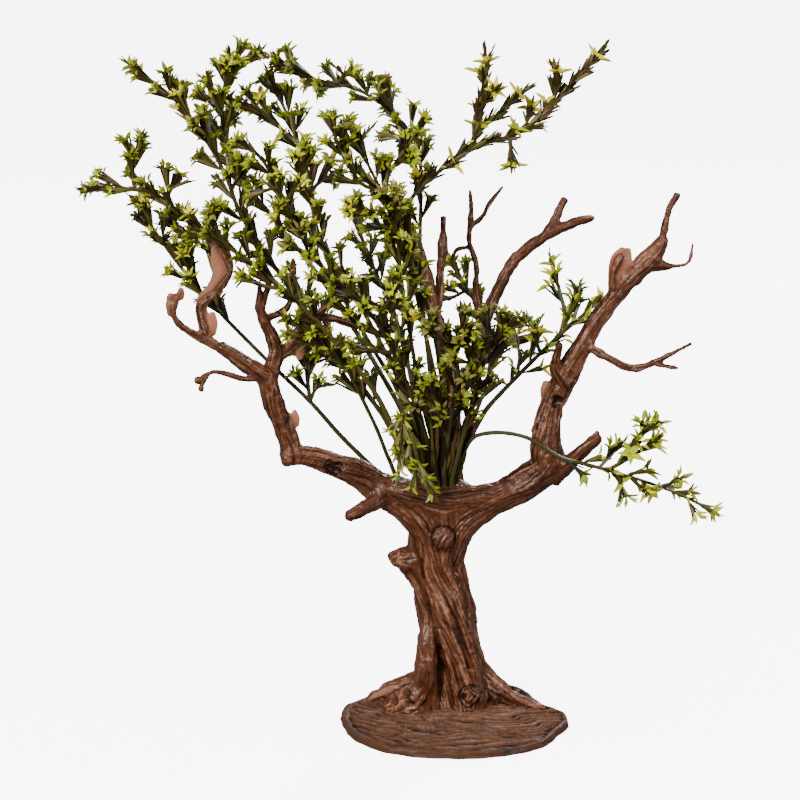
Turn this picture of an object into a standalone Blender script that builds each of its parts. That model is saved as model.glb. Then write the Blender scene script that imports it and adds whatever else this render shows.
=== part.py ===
# A model olive tree of moulded plastic, as made for dioramas. A gnarled trunk forks into two long
# boughs and a group of thin back boughs, and sprigs of plastic foliage are planted in the fork.
# It stands on a low oval stand whose flat underside is z = 0. +X is its right and -Y its front.
# Sizes below are in millimetres; the meshes are built in metres.

import math
import random

import bmesh
import bpy
import numpy as np
from mathutils import Vector

MM = 0.001
GAP = 0.3                     # clear gap between neighbouring pieces

# Stand
STAND_RX = 42.4               # half width
STAND_RY = 42.0               # half depth
STAND_RIM = 2.4               # height of the rim
STAND_MOUND = 2.6             # how much the middle rises above the rim
STAND_SIDES = 36
STAND_RINGS = (1.0, 0.8, 0.55, 0.25)
STAND_MIDDLE = (1.0, 8.0)     # where the mound is highest
STAND_WAVES = ((0.5, 5, 4.97), (0.4, 3, 0.5))   # height, waves round, turn
STAND_DENTS = ((7.5, 0.42, 0.36), (3.0, 2.62, 0.2), (1.6, -0.42, 0.25))   # depth, angle, width
STAND_FLARE = 0.5             # how much wider the underside is than the rim's top

# Tubes
TRUNK_STEP = 9.0              # length of one segment of the trunk's core
ROOT_STEP = 7.0
LIMB_STEP = (2.0, 3.4)        # a limb's segment is so many radii of its foot, plus so much
SIDE_TWIG_STEP = 5.0
SIDE_TWIG_SIDES = 5
FLASH_SIDES = 6
FLASH_STEP = 2.2
FLASH_END = 0.55              # width of a lobe of flash at its ends, over its middle
FLASH_DEPTH = 0.4
FOOT_CAP = 0.2                # how far a tube's ends stand out, in radii
TIP_CAP = 0.35
POINTED_CAP = 2.2
SMOOTH_ANGLE = 40             # edges sharper than this show
CURVE_PARTS = 8               # straight parts between two points of a route

# Foliage
FORK_FIRST = (-12.6, -4.2, 88.0)   # foot of the sprig in column 0, row 0 of the fork
FORK_PITCH = 2.7
FORK_RISE = 5.0               # how far a stem rises from its foot before it bends
FORK_PIECES = ("trunk", "bough_left_low", "bough_right_low", "bough_back")   # what carries stems
STEM_RADIUS = 0.75            # foot of a sprig's stem
STEM_TIP_RADIUS = 0.45
TWIG_RADIUS = 0.6
STEM_STEP = 9.0               # length of one stem segment
SAMPLE_STEP = 3.0             # distance between the points at which stems are kept apart
SHOOT_STEP = 10.5             # distance between the shoots along a stem
SHOOT_LENGTH = (7.0, 10.0)
SHOOT_WAIST = 0.62            # where along a shoot its leaves spread
SHOOT_RADIUS = 1.2
SHOOT_TRIES = 6
SHOOT_RISE = 0.25             # how much a shoot turns upwards
SHOOT_JITTER = (0.85, 1.15)   # how unevenly shoots are spaced
SHOOT_END = 3.5               # no side shoot this close to a stem's tip
TWIG_BARE = (4.0, 0.4)        # bare foot of a side twig: its length, and its most as a share
SHOOT_LEAN = (28, 46)         # angle between a shoot and its stem, in degrees
LEAF_LENGTH = (4.0, 5.6)
LEAF_RADIUS = 0.8
LEAF_SPREAD = 50              # angle between a leaf and its shoot, in degrees
LEAVES_PER_SHOOT = 4
GOLDEN_ANGLE = 2.39996
SOLVER = "MANIFOLD"           # joins the many small parts of a sprig, where EXACT is slow

# Keeping stems apart
EASE_ROUNDS = 60
EASE_ROOM = 1.0               # room between stems on top of the gap
EASE_STEMS = 0.35             # share of what is lacking that one round gives
EASE_LIMBS = 0.5
EASE_MOST = 0.8               # furthest move in one round
EASE_BLUR = (0.1, 0.2, 0.4, 0.2, 0.1)
EASE_FOOT = (3, 5)            # points of a stem's foot that stay, and over which it loosens

# Colours and roughness
STAND_FINISH = ((0.17, 0.065, 0.028), 0.45)
TRUNK_FINISH = ((0.16, 0.055, 0.026), 0.42)
LIMB_FINISH = ((0.17, 0.06, 0.03), 0.42)
FOLIAGE_FINISH = ((0.16, 0.2, 0.03), 0.5)

# Routes are (x, y, z, radius). "depth" is the section's depth over its width, and "cut_by" names
# the pieces that the limb is cut clear of, first the one that carries it. "flash" lists the thin
# round lobes of mould flash along a limb: their lower and upper middles and their half width.
TRUNK = {
    "core": dict(sides=14, depth=0.9, route=[
        (2.2, 10, 1.5, 14.5), (1.6, 10, 8.5, 11.4), (0.7, 9, 17.4, 10.5), (-1.2, 8, 26.2, 10.7),
        (-2.8, 7, 36.6, 10.4), (-5.1, 6, 48, 10.3), (-6.9, 5, 58.2, 10.2), (-6.6, 4.5, 67.5, 10.6),
        (-5.6, 4, 77, 12.2), (-5, 4, 84, 12.6), (-5, 4, 88, 10.8), (-5, 4, 90.2, 6.4)]),
    "left_leg": dict(sides=6, depth=0.9, route=[
        (-8.5, 4, 40, 2.2), (-11.2, 2.5, 30, 3.2), (-10.4, 1, 22, 3.7), (-10, 1, 12, 4.1),
        (-10.8, 1, 2, 5.4)]),
    "left_root": dict(sides=6, depth=1.0, route=[
        (-3, 11, 16, 5), (-12, 12, 11, 5), (-18, 12, 9, 4.6), (-24, 13, 6.4, 4.2),
        (-30, 14, 3.4, 3)]),
    "right_root": dict(sides=6, depth=1.0, route=[
        (4, 10, 18.5, 5.5), (10, 9, 13.6, 5), (16, 8, 9.2, 3.9), (22, 8, 5.4, 2.9),
        (33, 7, 2.2, 1.5)]),
    "front_root": dict(sides=6, depth=1.0, route=[
        (3.5, 6, 22, 3.2), (5.2, 3.6, 14, 4.4), (7, 2, 1, 5.4)]),
    "back_root": dict(sides=6, depth=1.0, route=[
        (1, 13, 20, 4.5), (3, 20, 10, 4.8), (5, 26, 6, 3.6), (8, 32, 3, 2.4)]),
    "burl": dict(sides=6, depth=0.9, route=[
        (-10, 4, 61, 5.2), (-17, 2.5, 61.4, 4.5), (-21.5, 2, 62, 3.2), (-24.4, 1.5, 63, 1.2)]),
    "knot": dict(sides=8, depth=1.0, route=[
        (-5.2, 0, 71, 5.2), (-5.1, -6.4, 71.4, 4.8), (-5, -7, 71.6, 3.6)]),
}

LIMBS = {
    "bough_left_low": dict(sides=10, depth=0.92, cut_by=("trunk",), route=[
        (-9.6, 4, 80.2, 7.8), (-20.5, 3, 84.5, 6.9), (-28.5, 1, 88.7, 5.7), (-36.8, -1, 94.8, 4.9),
        (-54.3, -5, 101.8, 3.7), (-62, -6, 102, 4.1)]),
    "bough_left_up": dict(sides=10, depth=0.92, cut_by=("bough_left_low",), route=[
        (-59.4, -6, 101.5, 4), (-60.7, -6, 108.7, 3.8), (-65.8, -8, 123.1, 3.9),
        (-68.4, -8, 133, 3.6)],
        flash=[((-57.7, -7, 113), (-58.3, -7, 119), 1.9)]),
    "stub_under_left": dict(sides=6, depth=0.9, cut_by=("bough_left_low", "trunk"), route=[
        (-25, 0, 88.5, 2.6), (-29.2, -4, 84.4, 2.1), (-39.6, -9, 79.8, 1.3)]),
    "bough_left_inner": dict(sides=8, depth=0.85, cut_by=("bough_left_up",), route=[
        (-67.4, -7.5, 130, 3.3), (-64.8, -4.6, 141, 2.8), (-70.3, -5, 155.2, 1.8),
        (-70.2, -5, 164.2, 0.7)], twigs=[
        [(-70, -5, 155, 1.3), (-67.4, -4, 163.7, 0.9), (-68.4, -4, 166.9, 0.6)],
        [(-69, -4.6, 151.5, 1.4), (-60.5, 0, 155.7, 1.3), (-58.7, 2, 166.2, 1.2),
         (-58.7, 2, 172.4, 0.8)]]),
    "bough_left_inner_b": dict(sides=8, depth=0.85,
        cut_by=("bough_left_inner", "bough_left_up"), route=[
        (-65, -5, 137, 2.4), (-59, -3, 142.6, 2.3), (-55.1, -3, 149.4, 1.8),
        (-44.7, -3, 157, 0.9)], twigs=[
        [(-52, -3, 151.7, 1.5), (-45.9, 0, 151.5, 1.4), (-40.9, 2, 149.9, 1.5),
         (-36, 3, 147.5, 1.2)]],
        flash=[((-56.6, -3, 136.8), (-55.2, -3, 143.6), 2.1)]),
    "bough_left_outer": dict(sides=8, depth=0.85,
        cut_by=("bough_left_up", "bough_left_inner"), route=[
        (-67.8, -8.6, 131.4, 3), (-81.4, -12, 141.4, 2.2), (-98.3, -16, 152.2, 1.3),
        (-100.2, -16, 162.6, 1.3)], twigs=[
        [(-99.9, -16, 157, 0.9), (-98.9, -16, 160.8, 0.9), (-97.4, -16, 163.8, 1.1)]],
        flash=[((-100.3, -16, 160.4), (-100.6, -16, 164.6), 1.9),
               ((-98, -16, 162.4), (-97.1, -16, 166), 1.7)]),
    "twig_left": dict(sides=6, depth=1.0, cut_by=("bough_left_up", "bough_left_outer"), route=[
        (-68, -9, 131.6, 1.3), (-75.5, -13, 131.8, 1), (-85.9, -16, 135, 0.9),
        (-92.1, -18, 132.2, 0.6)], twigs=[
        [(-88.6, -17, 133.6, 0.8), (-90, -18, 131.4, 0.7), (-90.7, -19, 128.4, 0.5)]]),
    "bough_left_upright": dict(sides=8, depth=0.6, cut_by=("bough_left_outer",), route=[
        (-88.7, -13.4, 145.4, 2.2), (-90.7, -11, 156.4, 2.2), (-89.5, -11, 160.6, 2.4),
        (-84.6, -11, 165.6, 2.8), (-82.1, -11, 171.4, 3.1), (-83.2, -11, 177.5, 2.7),
        (-86.2, -11, 181, 1.2)],
        flash=[((-86.9, -12, 147.5), (-87.2, -12, 155.5), 2)]),
    "bough_right_low": dict(sides=10, depth=0.92, cut_by=("trunk", "bough_left_low"), route=[
        (-1.5, 4, 79.8, 7.2), (7.9, 3, 81.2, 6.5), (15.9, 2, 84.6, 5.7), (30.3, 2, 93.6, 6.1),
        (33.9, 2, 97.7, 6.4)]),
    "bough_right_up": dict(sides=10, depth=0.9, cut_by=("bough_right_low",), route=[
        (33.9, 2, 97.1, 6.3), (32.4, 2, 103.8, 5.7), (33.7, 3, 116.2, 4.5), (39, 4, 128.9, 4.5),
        (46.1, 5, 141.6, 3.6), (52.9, 6, 153.1, 3.4), (62.1, 7, 164.1, 3.1), (67.5, 8, 168.8, 2.8),
        (73.5, 8, 175.4, 1.8)],
        flash=[((28.4, 2, 107.6), (28.2, 2, 111.4), 1.7), ((31.4, 3, 121), (32, 3, 127.6), 1.9)]),
    "stub_elbow_right": dict(sides=6, depth=0.9,
        cut_by=("bough_right_low", "bough_right_up"), route=[
        (34.5, 1, 93, 4.6), (38.6, -0.5, 96.6, 3.4), (43, -2, 101.6, 2.3), (51.1, -4, 108.6, 1.8)],
        flash=[((49.4, -4, 107.6), (50.6, -4, 110.6), 1.7)]),
    "bough_right_side": dict(sides=6, depth=1.0, cut_by=("bough_right_up",), route=[
        (46, 4, 141.4, 1.7), (55.6, 0, 136, 1.5), (65.5, -2, 133.6, 1.3),
        (83.3, -5, 143, 0.6)], twigs=[
        [(69.4, -3, 135.9, 1), (75, -4, 134.5, 0.8), (79.2, -5, 134.1, 0.5)]]),
    "fin_right": dict(sides=8, depth=0.3, cut_by=("bough_right_up",), route=[
        (57.3, 7, 158.4, 3.4), (57.2, 6, 170.6, 2.9), (59.7, 6, 175.1, 1.8)]),
    "tip_right": dict(sides=6, depth=1.0, cut_by=("bough_right_up",), route=[
        (72.8, 8, 173.6, 1.3), (75.3, 8, 188, 1.3), (78.6, 8, 194.9, 1.2)]),
    "twig_right": dict(sides=6, depth=1.0, cut_by=("bough_right_up", "tip_right"), route=[
        (71.8, 8, 171.2, 1.1), (76.4, 7, 169, 0.9), (82.7, 6, 170.4, 0.7), (84.3, 6, 177.5, 0.45)]),
    "stub_inner_right": dict(sides=6, depth=0.9, cut_by=("bough_right_up",), route=[
        (39, 3, 128.2, 1.9), (35.2, 0, 135.3, 1.6), (36.1, -1, 141, 1)]),
    "bough_back": dict(sides=8, depth=0.9,
        cut_by=("trunk", "bough_left_low", "bough_right_low"), route=[
        (-3, 11.5, 80, 6), (-4, 14.6, 103.2, 5.6), (-2.2, 18, 122.9, 3.9), (-5.5, 22, 140.8, 3.1),
        (-8.4, 24, 149, 2.8), (-11.4, 26, 163.5, 2.4), (-14.6, 28, 175.4, 1.6),
        (-17.2, 29, 180.4, 1.2)], twigs=[
        [(-12, 26.4, 166.5, 1.5), (-16.8, 27, 169.3, 1.4), (-20.9, 27, 171.9, 1.2)]]),
    "stump_back": dict(sides=8, depth=0.9, cut_by=("bough_back",), route=[
        (-5, 13, 103, 3.8), (-8.3, 9.6, 113.5, 3.2), (-9.3, 8.6, 120.9, 2.4)]),
    "bough_back_bulge": dict(sides=6, depth=1.0, cut_by=("bough_back",), route=[
        (-8.2, 24.6, 146.8, 2), (-6.2, 28, 152.7, 1.7), (-5.8, 30, 161.3, 1.6),
        (-4.7, 32, 173.4, 1.9), (-4.6, 32, 178.4, 1), (-4.6, 32, 182.9, 1.3)]),
    "bough_back_mid": dict(sides=6, depth=1.0, cut_by=("bough_back",), route=[
        (-2.2, 17.6, 118.1, 3), (3, 22, 124, 2.6), (7.1, 25, 131.6, 2.4), (9.2, 28, 141.5, 2),
        (7.5, 31, 155.5, 1.4), (7.5, 32, 165.1, 1.2), (4.9, 33, 174.2, 1.1), (5.6, 34, 184.8, 1),
        (5.1, 34, 192.6, 0.7)], twigs=[
        [(4.8, 34, 178.4, 1), (9.6, 34, 182.6, 0.9), (12.1, 34, 187.4, 0.9),
         (17.2, 34, 193.9, 0.5)],
        [(5.6, 33, 171.6, 0.8), (1.6, 34, 171, 0.8), (-0.4, 34.6, 169.4, 0.7),
         (-1.2, 34.8, 166.4, 0.7)]]),
    "bough_back_right": dict(sides=6, depth=1.0, cut_by=("bough_back_mid",), route=[
        (8.6, 27.4, 138.5, 2.2), (11.6, 30.6, 147.9, 2), (20.5, 36, 165.1, 1.8),
        (33.8, 39, 175.1, 1.6), (43.1, 40, 179.4, 1.6), (51.2, 40, 181.5, 1.1)], twigs=[
        [(33, 39, 174, 1.5), (36, 40, 179.4, 1.5), (40.5, 42, 188.6, 1.2)]]),
    "stub_back_right": dict(sides=6, depth=1.0,
        cut_by=("bough_back_mid", "bough_back_right"), route=[
        (8.4, 26.6, 137, 1.9), (14.5, 25.6, 137, 1.7), (25.4, 24.6, 138.8, 1.7),
        (30.5, 24, 141.5, 1.5)]),
}

# Sprigs: "fork" is the column and row in the fork where the stem is planted; a stem that is
# planted in the left bough has its "foot" instead. "bare" is how much of the stem has no shoots.
# The first route is the stem, from a little above its foot; the others are its side twigs, each
# of which starts on the stem or on a twig before it.
SPRIGS = {
    "sprig_left_low": dict(foot=(-24.5, 4.5, 87.5), bare=0.6, routes=[
        [(-27.5, 8.2, 91.5), (-33, 9.5, 96.6), (-42.3, 8, 106.5), (-53, 4, 119.9), (-68, 3, 135),
         (-87, 3, 155), (-101, 4, 172), (-115, 4, 193)],
        [(-94, 3, 163), (-96, 1, 173), (-97, 0, 178)],
        [(-90, 3, 159), (-87, 5, 166), (-88, 7, 173), (-98, 10, 181), (-105, 12, 183)],
        [(-53, 4, 120), (-53.7, 4, 126), (-54.4, 5, 133), (-54.1, 7, 140)],
        [(-53, 4, 120), (-50.7, 1, 125.5), (-47.1, -1, 126.7)]]),
    "sprig_left_front": dict(fork=(0, 0), bare=0.42, routes=[
        [(-17.4, -5.4, 98), (-23.4, -8, 113.9), (-31.2, -10, 129), (-47, -12, 149.3),
         (-61, -14, 164),
         (-74, -15, 175), (-96, -18, 190), (-109, -21, 200), (-130, -24, 201)],
        [(-111, -21, 201), (-112, -23, 208), (-109, -26, 220)],
        [(-102, -19, 196), (-100, -19, 201), (-94, -18, 203)],
        [(-81, -16, 178), (-84, -22, 185), (-85, -30, 196)],
        [(-61, -14, 164), (-69, -16, 166), (-76, -17, 171)]]),
    "sprig_left_high": dict(fork=(0, 1), bare=0.5, routes=[
        [(-28, -2, 118), (-49, -5, 146), (-63, -5, 168), (-76, -5, 188),
         (-82, -6, 204), (-91, -6, 220), (-100, -7, 231), (-114, -8, 242)],
        [(-86, -6, 211), (-88, -10, 219), (-88, -14, 226)],
        [(-95, -7, 225), (-97, -4, 231), (-96, -2, 235)],
        [(-80, -5, 197), (-77, -11, 204), (-76, -16, 211)]]),
    "sprig_top_left": dict(fork=(0, 2), bare=0.55, routes=[
        [(-15, 4, 105), (-24, 5, 124), (-46, 8, 160), (-65, 9, 185),
         (-82, 11, 208), (-83, 13, 231), (-76, 14, 247)],
        [(-84, 12, 222), (-88, 17, 226), (-93, 22, 230)],
        [(-84, 12, 226), (-87, 10, 231), (-88, 8, 236)],
        [(-83, 13, 231), (-82, 9, 238), (-81, 6, 245)],
        [(-81, 13, 235), (-75, 17, 240), (-70, 20, 245)],
        [(-84, 12, 217), (-81, 18, 221), (-82, 24, 226)]]),
    "sprig_crown_left": dict(fork=(1, 1), bare=0.42, routes=[
        [(-21, -6, 125), (-30, -10, 142), (-40, -14, 160), (-55, -20, 186),
         (-68, -27, 212), (-78, -30, 217)],
        [(-60, -23, 195), (-56, -27, 203), (-52, -36, 218)],
        [(-48, -17, 175), (-53, -25, 179), (-59, -34, 184)],
        [(-63, -24, 201), (-68, -23, 200), (-72, -22, 197)]]),
    "sprig_crown_mid": dict(fork=(1, 2), bare=0.5, routes=[
        [(-19, 5, 123), (-36, 11, 156), (-50, 15, 180), (-55, 20, 206),
         (-63, 23, 216), (-77, 26, 224)],
        [(-57, 21, 209), (-60, 25, 217), (-68, 34, 235)],
        [(-63, 23, 216), (-70, 20, 223), (-76, 18, 231)],
        [(-52, 18, 195), (-48, 26, 198), (-42, 34, 199)]]),
    "sprig_arch": dict(fork=(2, 3), bare=0.5, routes=[
        [(-9, 8, 123), (-13, 13, 163), (-13, 17, 196), (-14, 19, 210),
         (-21, 22, 220), (-35, 24, 230), (-56, 28, 235), (-65, 30, 242)],
        [(-23, 22, 222), (-24, 28, 227), (-26, 36, 233)],
        [(-17, 21, 217), (-20, 30, 212), (-25, 38, 214)],
        [(-45, 26, 232), (-41, 24, 235), (-43, 22, 238)],
        [(-33, 23, 229), (-32, 28, 231), (-31, 33, 234)],
        [(-53, 27, 234), (-50, 36, 229)]]),
    "sprig_mid_top": dict(fork=(2, 1), bare=0.4, routes=[
        [(-9, -4, 107), (-13, -5, 124), (-19, -9, 160), (-22, -13, 185),
         (-27, -15, 199), (-34, -17, 215), (-31, -18, 221)],
        [(-27, -15, 199), (-34, -16, 202), (-42, -20, 216), (-43, -22, 227)],
        [(-34, -17, 212), (-38, -16, 216), (-40, -14, 222)],
        [(-22, -13, 185), (-28, -18, 188), (-38, -30, 197)]]),
    "sprig_cross_top": dict(fork=(3, 1), bare=0.42, routes=[
        [(-4, 0, 106), (-6, -1, 121), (-14, -3, 158), (-19, -6, 186),
         (-26, -7, 199), (-17, -9, 216), (-12, -10, 225)],
        [(-23, -8, 208), (-19, -13, 211), (-19, -17, 214)],
        [(-18, -4, 173), (-23, -12, 184), (-22, -20, 200)]]),
    "sprig_right_top": dict(fork=(3, 2), bare=0.5, routes=[
        [(-3, 3, 106), (-8, 4, 144), (-17, 5, 179), (-17, 5, 193), (4, 6, 211),
         (25, 7, 219), (49, 8, 244)],
        [(3, 6, 211), (6, 4, 220), (10, 2, 243)],
        [(7, 4, 224), (10, 0, 229), (12, -4, 232)],
        [(4, 6, 212), (9, 8, 219), (22, 12, 230)],
        [(32, 7, 226), (34, 6, 232), (34, 4, 239)],
        [(24, 7, 218), (26, 14, 224)],
        [(20, 7, 215), (19, 4, 209)]]),
    "sprig_right_mid": dict(fork=(4, 2), bare=0.48, routes=[
        [(1.6, 3, 100.2), (8.5, 5, 112.8), (12.1, 6, 118.1), (23, 8, 129.4), (35, 10, 141),
         (48, 13, 152), (52, 13, 157)],
        [(40, 11, 145), (40, 13, 151), (34, 18, 170)],
        [(42, 11, 147), (44, 13, 154), (42, 14, 161)],
        [(21, 8, 128), (22.5, 12, 136), (20, 16, 143)],
        [(30, 9, 136), (28, 8, 144), (30, 8, 149)]]),
    "sprig_right_low": dict(fork=(4, 1), bare=0.5, routes=[
        [(2.2, -3.4, 102.3), (5.6, -5.2, 108.4), (10, -6.6, 110.4), (17.1, -8, 111),
         (26, -9, 109), (37, -10, 102.4), (46, -10, 100), (65, -13, 95), (80, -16, 90),
         (92, -18, 84)],
        [(50, -10, 99), (54, -10, 103), (59, -10, 108)],
        [(53, -11, 98), (60, -15, 103), (70, -22, 112)],
        [(60, -15, 103), (63, -18, 111), (71, -26, 119)],
        [(57, -12, 96), (59, -12, 92), (58, -12, 87)],
        [(74, -14, 93), (79, -22, 98)],
        [(61, -12, 95), (66, -22, 93)]]),
    "sprig_left_inner": dict(foot=(-20.5, 3.5, 87), bare=0.45, routes=[
        [(-22.6, 2.6, 93.8), (-25.2, 0, 100.9), (-29.5, -4, 113), (-38.3, -8, 132.2),
         (-41.8, -9, 137.5), (-54.8, -12, 148.6), (-61, -14, 154)],
        [(-41.8, -9, 137.5), (-45.3, -11, 139.4), (-49.5, -13, 138), (-53.7, -15, 140.5)]]),
    "sprig_front_left": dict(fork=(2, 0), bare=0.3, routes=[
        [(-13, -11, 116), (-23, -20, 143), (-34, -29, 163), (-44, -34, 171)],
        [(-23, -20, 143), (-30, -22, 144), (-38, -24, 147)],
        [(-28, -25, 155), (-23, -31, 164), (-21, -36, 172)]]),
    "sprig_front_mid": dict(fork=(3, 0), bare=0.3, routes=[
        [(-3, -12, 115), (0, -18, 133), (-1, -23, 144), (1, -27, 152),
         (0, -30, 160)],
        [(-1, -15, 126), (4, -19, 131), (6, -22, 137)],
        [(-1, -23, 144), (-7, -30, 150), (-10, -36, 158)],
        [(-3, -12, 115), (-8, -19, 124), (-12, -26, 133)]]),
    "sprig_front_right": dict(fork=(4, 0), bare=0.3, routes=[
        [(0.6, -7.4, 104), (4.6, -10, 120), (12, -16, 145), (22, -20, 155)],
        [(8, -13, 133), (3, -22, 142), (4, -30, 152)],
        [(12, -16, 145), (10, -14, 151), (12, -12, 156)]]),
    "sprig_hanging": dict(fork=(1, 0), bare=0.4, routes=[
        [(-14, -8, 114), (-17, -11, 122), (-20, -14, 117), (-21, -17, 98)],
        [(-18, -12, 121), (-15, -17, 112), (-12, -20, 100)]]),
    "sprig_back_left": dict(fork=(0, 3), bare=0.35, routes=[
        [(-20, 8, 101), (-28, 15, 114), (-37, 24, 125), (-52, 39, 144),
         (-62, 52, 161)],
        [(-45, 31, 135), (-53, 43, 133), (-60, 52, 129)],
        [(-52, 39, 144), (-46, 50, 149), (-43, 60, 156)]]),
    "sprig_back_mid": dict(fork=(1, 3), bare=0.35, routes=[
        [(-15, 17, 119), (-23, 35, 148), (-29, 44, 159), (-39, 60, 180)],
        [(-23, 35, 148), (-32, 41, 150), (-41, 48, 152)],
        [(-29, 44, 159), (-24, 53, 167), (-21, 62, 176)]]),
    "sprig_back_right": dict(fork=(4, 3), bare=0.35, routes=[
        [(10, 24, 118), (13, 36, 130), (11, 46, 141), (-1, 66, 161)],
        [(13, 36, 130), (17, 47, 135), (21, 57, 140)],
        [(5, 57, 152), (-2, 61, 148), (-9, 66, 151)]]),
}


# ---- curves ----

def smooth_route(points, step):
    """Catmull-Rom curve through the points, read off at about equal steps along its length."""
    pts = np.array(points, float)
    padded = np.vstack([2 * pts[0] - pts[1], pts, 2 * pts[-1] - pts[-2]])
    fine = [pts[0]]
    for i in range(len(pts) - 1):
        p0, p1, p2, p3 = padded[i:i + 4]
        for t in np.linspace(0, 1, CURVE_PARTS + 1)[1:]:
            bend = 2 * p0 - 5 * p1 + 4 * p2 - p3
            twist = 3 * p1 - p0 - 3 * p2 + p3
            fine.append(0.5 * (2 * p1 + (p2 - p0) * t + bend * t * t + twist * t ** 3))
    fine = np.array(fine)
    along = np.concatenate([[0], np.cumsum(np.linalg.norm(np.diff(fine[:, :3], axis=0), axis=1))])
    count = max(2, round(along[-1] / step) + 1)
    stations = np.linspace(0, along[-1], count)
    return np.stack([np.interp(stations, along, fine[:, k]) for k in range(pts.shape[1])], axis=1)


def route_frames(points):
    """Tangent, sideways and forward unit vectors at each point of a route."""
    tangents = np.gradient(points, axis=0)
    tangents /= np.linalg.norm(tangents, axis=1)[:, None]
    side = np.cross(tangents, (0.0, 1.0, 0.0))
    side /= np.maximum(np.linalg.norm(side, axis=1), 1e-6)[:, None]
    return tangents, side, np.cross(side, tangents)


# ---- meshes ----

def new_object(name, bm, material=None):
    bmesh.ops.recalc_face_normals(bm, faces=bm.faces[:])
    bmesh.ops.triangulate(bm, faces=bm.faces[:])
    mesh = bpy.data.meshes.new(name)
    bm.to_mesh(mesh)
    bm.free()
    obj = bpy.data.objects.new(name, mesh)
    bpy.context.scene.collection.objects.link(obj)
    if material:
        mesh.materials.append(material)
    return obj


def tube(name, route, sides, depth=1.0, grow=0.0, pointed=False):
    """A closed tapering tube along (x, y, z, radius) stations; grow fattens it all over."""
    centres = route[:, :3].copy()
    radii = route[:, 3] + grow
    tangents, side, front = route_frames(centres)
    centres[0] -= tangents[0] * grow
    centres[-1] += tangents[-1] * grow
    bm = bmesh.new()
    rings = []
    for centre, radius, u, v in zip(centres, radii, side, front):
        ring = []
        for k in range(sides):
            angle = 2 * math.pi * (k + 0.5) / sides
            reach = (radius - grow) * depth + grow
            spot = centre + radius * math.cos(angle) * u + reach * math.sin(angle) * v
            ring.append(bm.verts.new(spot * MM))
        rings.append(ring)
    for low, high in zip(rings, rings[1:]):
        for k in range(sides):
            nxt = (k + 1) % sides
            bm.faces.new((low[k], low[nxt], high[nxt], high[k]))
    tip_cap = POINTED_CAP if pointed else TIP_CAP
    foot = bm.verts.new((centres[0] - tangents[0] * FOOT_CAP * radii[0]) * MM)
    tip = bm.verts.new((centres[-1] + tangents[-1] * tip_cap * radii[-1]) * MM)
    for k in range(sides):
        nxt = (k + 1) % sides
        bm.faces.new((foot, rings[0][nxt], rings[0][k]))
        bm.faces.new((tip, rings[-1][k], rings[-1][nxt]))
    return new_object(name, bm)


def shoot_star(name, foot, direction, length, turn, reaches):
    """A shoot that swells from its foot and opens in a star of pointed leaves."""
    sides = len(reaches)
    waist, points = leaf_points(foot, direction, length, turn, reaches)
    crown = waist + direction * SHOOT_RADIUS * 0.6
    bm = bmesh.new()
    low = bm.verts.new(foot * MM)
    high = bm.verts.new(crown * MM)
    ring = [bm.verts.new((waist + SHOOT_RADIUS * perpendicular(
        direction, turn + 2 * math.pi * (k - 0.5) / sides)) * MM) for k in range(sides)]
    for k, spot in enumerate(points):
        point = bm.verts.new(spot * MM)
        nxt = ring[(k + 1) % sides]
        bm.faces.new((low, nxt, ring[k]))
        bm.faces.new((ring[k], nxt, point))
        bm.faces.new((nxt, high, point))
        bm.faces.new((high, ring[k], point))
    return new_object(name, bm)


def boolean(obj, others, operation, solver="EXACT"):
    """Join or cut obj with the others, all at once, and remove them."""
    group = bpy.data.collections.new("operands")
    bpy.context.scene.collection.children.link(group)
    for other in others:
        bpy.context.scene.collection.objects.unlink(other)
        group.objects.link(other)
    modifier = obj.modifiers.new("join", "BOOLEAN")
    modifier.operation = operation
    modifier.solver = solver
    modifier.operand_type = "COLLECTION"
    modifier.collection = group
    graph = bpy.context.evaluated_depsgraph_get()
    result = bpy.data.meshes.new_from_object(obj.evaluated_get(graph), depsgraph=graph)
    obj.modifiers.clear()
    old = obj.data
    obj.data = result
    bpy.data.meshes.remove(old)
    for other in list(group.objects):
        mesh = other.data
        bpy.data.objects.remove(other)
        bpy.data.meshes.remove(mesh)
    bpy.data.collections.remove(group)
    return obj


def keep_main_body(obj):
    """Drop loose scraps and fill sealed hollows: only the largest shell stays."""
    bm = bmesh.new()
    bm.from_mesh(obj.data)
    unseen = set(bm.verts)
    shells = []
    while unseen:
        stack = [unseen.pop()]
        shell = set(stack)
        while stack:
            for edge in stack.pop().link_edges:
                for vert in edge.verts:
                    if vert in unseen:
                        unseen.discard(vert)
                        shell.add(vert)
                        stack.append(vert)
        shells.append(shell)
    shells.sort(key=len, reverse=True)
    extra = [vert for shell in shells[1:] for vert in shell]
    bmesh.ops.delete(bm, geom=extra, context="VERTS")
    bm.to_mesh(obj.data)
    bm.free()
    return obj


# ---- materials ----

def plastic(name, colour, roughness):
    material = bpy.data.materials.new(name)
    material.use_nodes = True
    shader = material.node_tree.nodes["Principled BSDF"]
    shader.inputs["Base Color"].default_value = (*colour, 1)
    shader.inputs["Roughness"].default_value = roughness
    shader.inputs["Metallic"].default_value = 0
    return material


def finish(obj, name, colour, roughness):
    obj.name = name
    obj.data.name = name
    obj.data.materials.clear()
    obj.data.materials.append(plastic(name, colour, roughness))
    obj.data.shade_smooth()
    obj.data.set_sharp_from_angle(angle=math.radians(SMOOTH_ANGLE))
    return obj


# ---- stand ----

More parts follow.
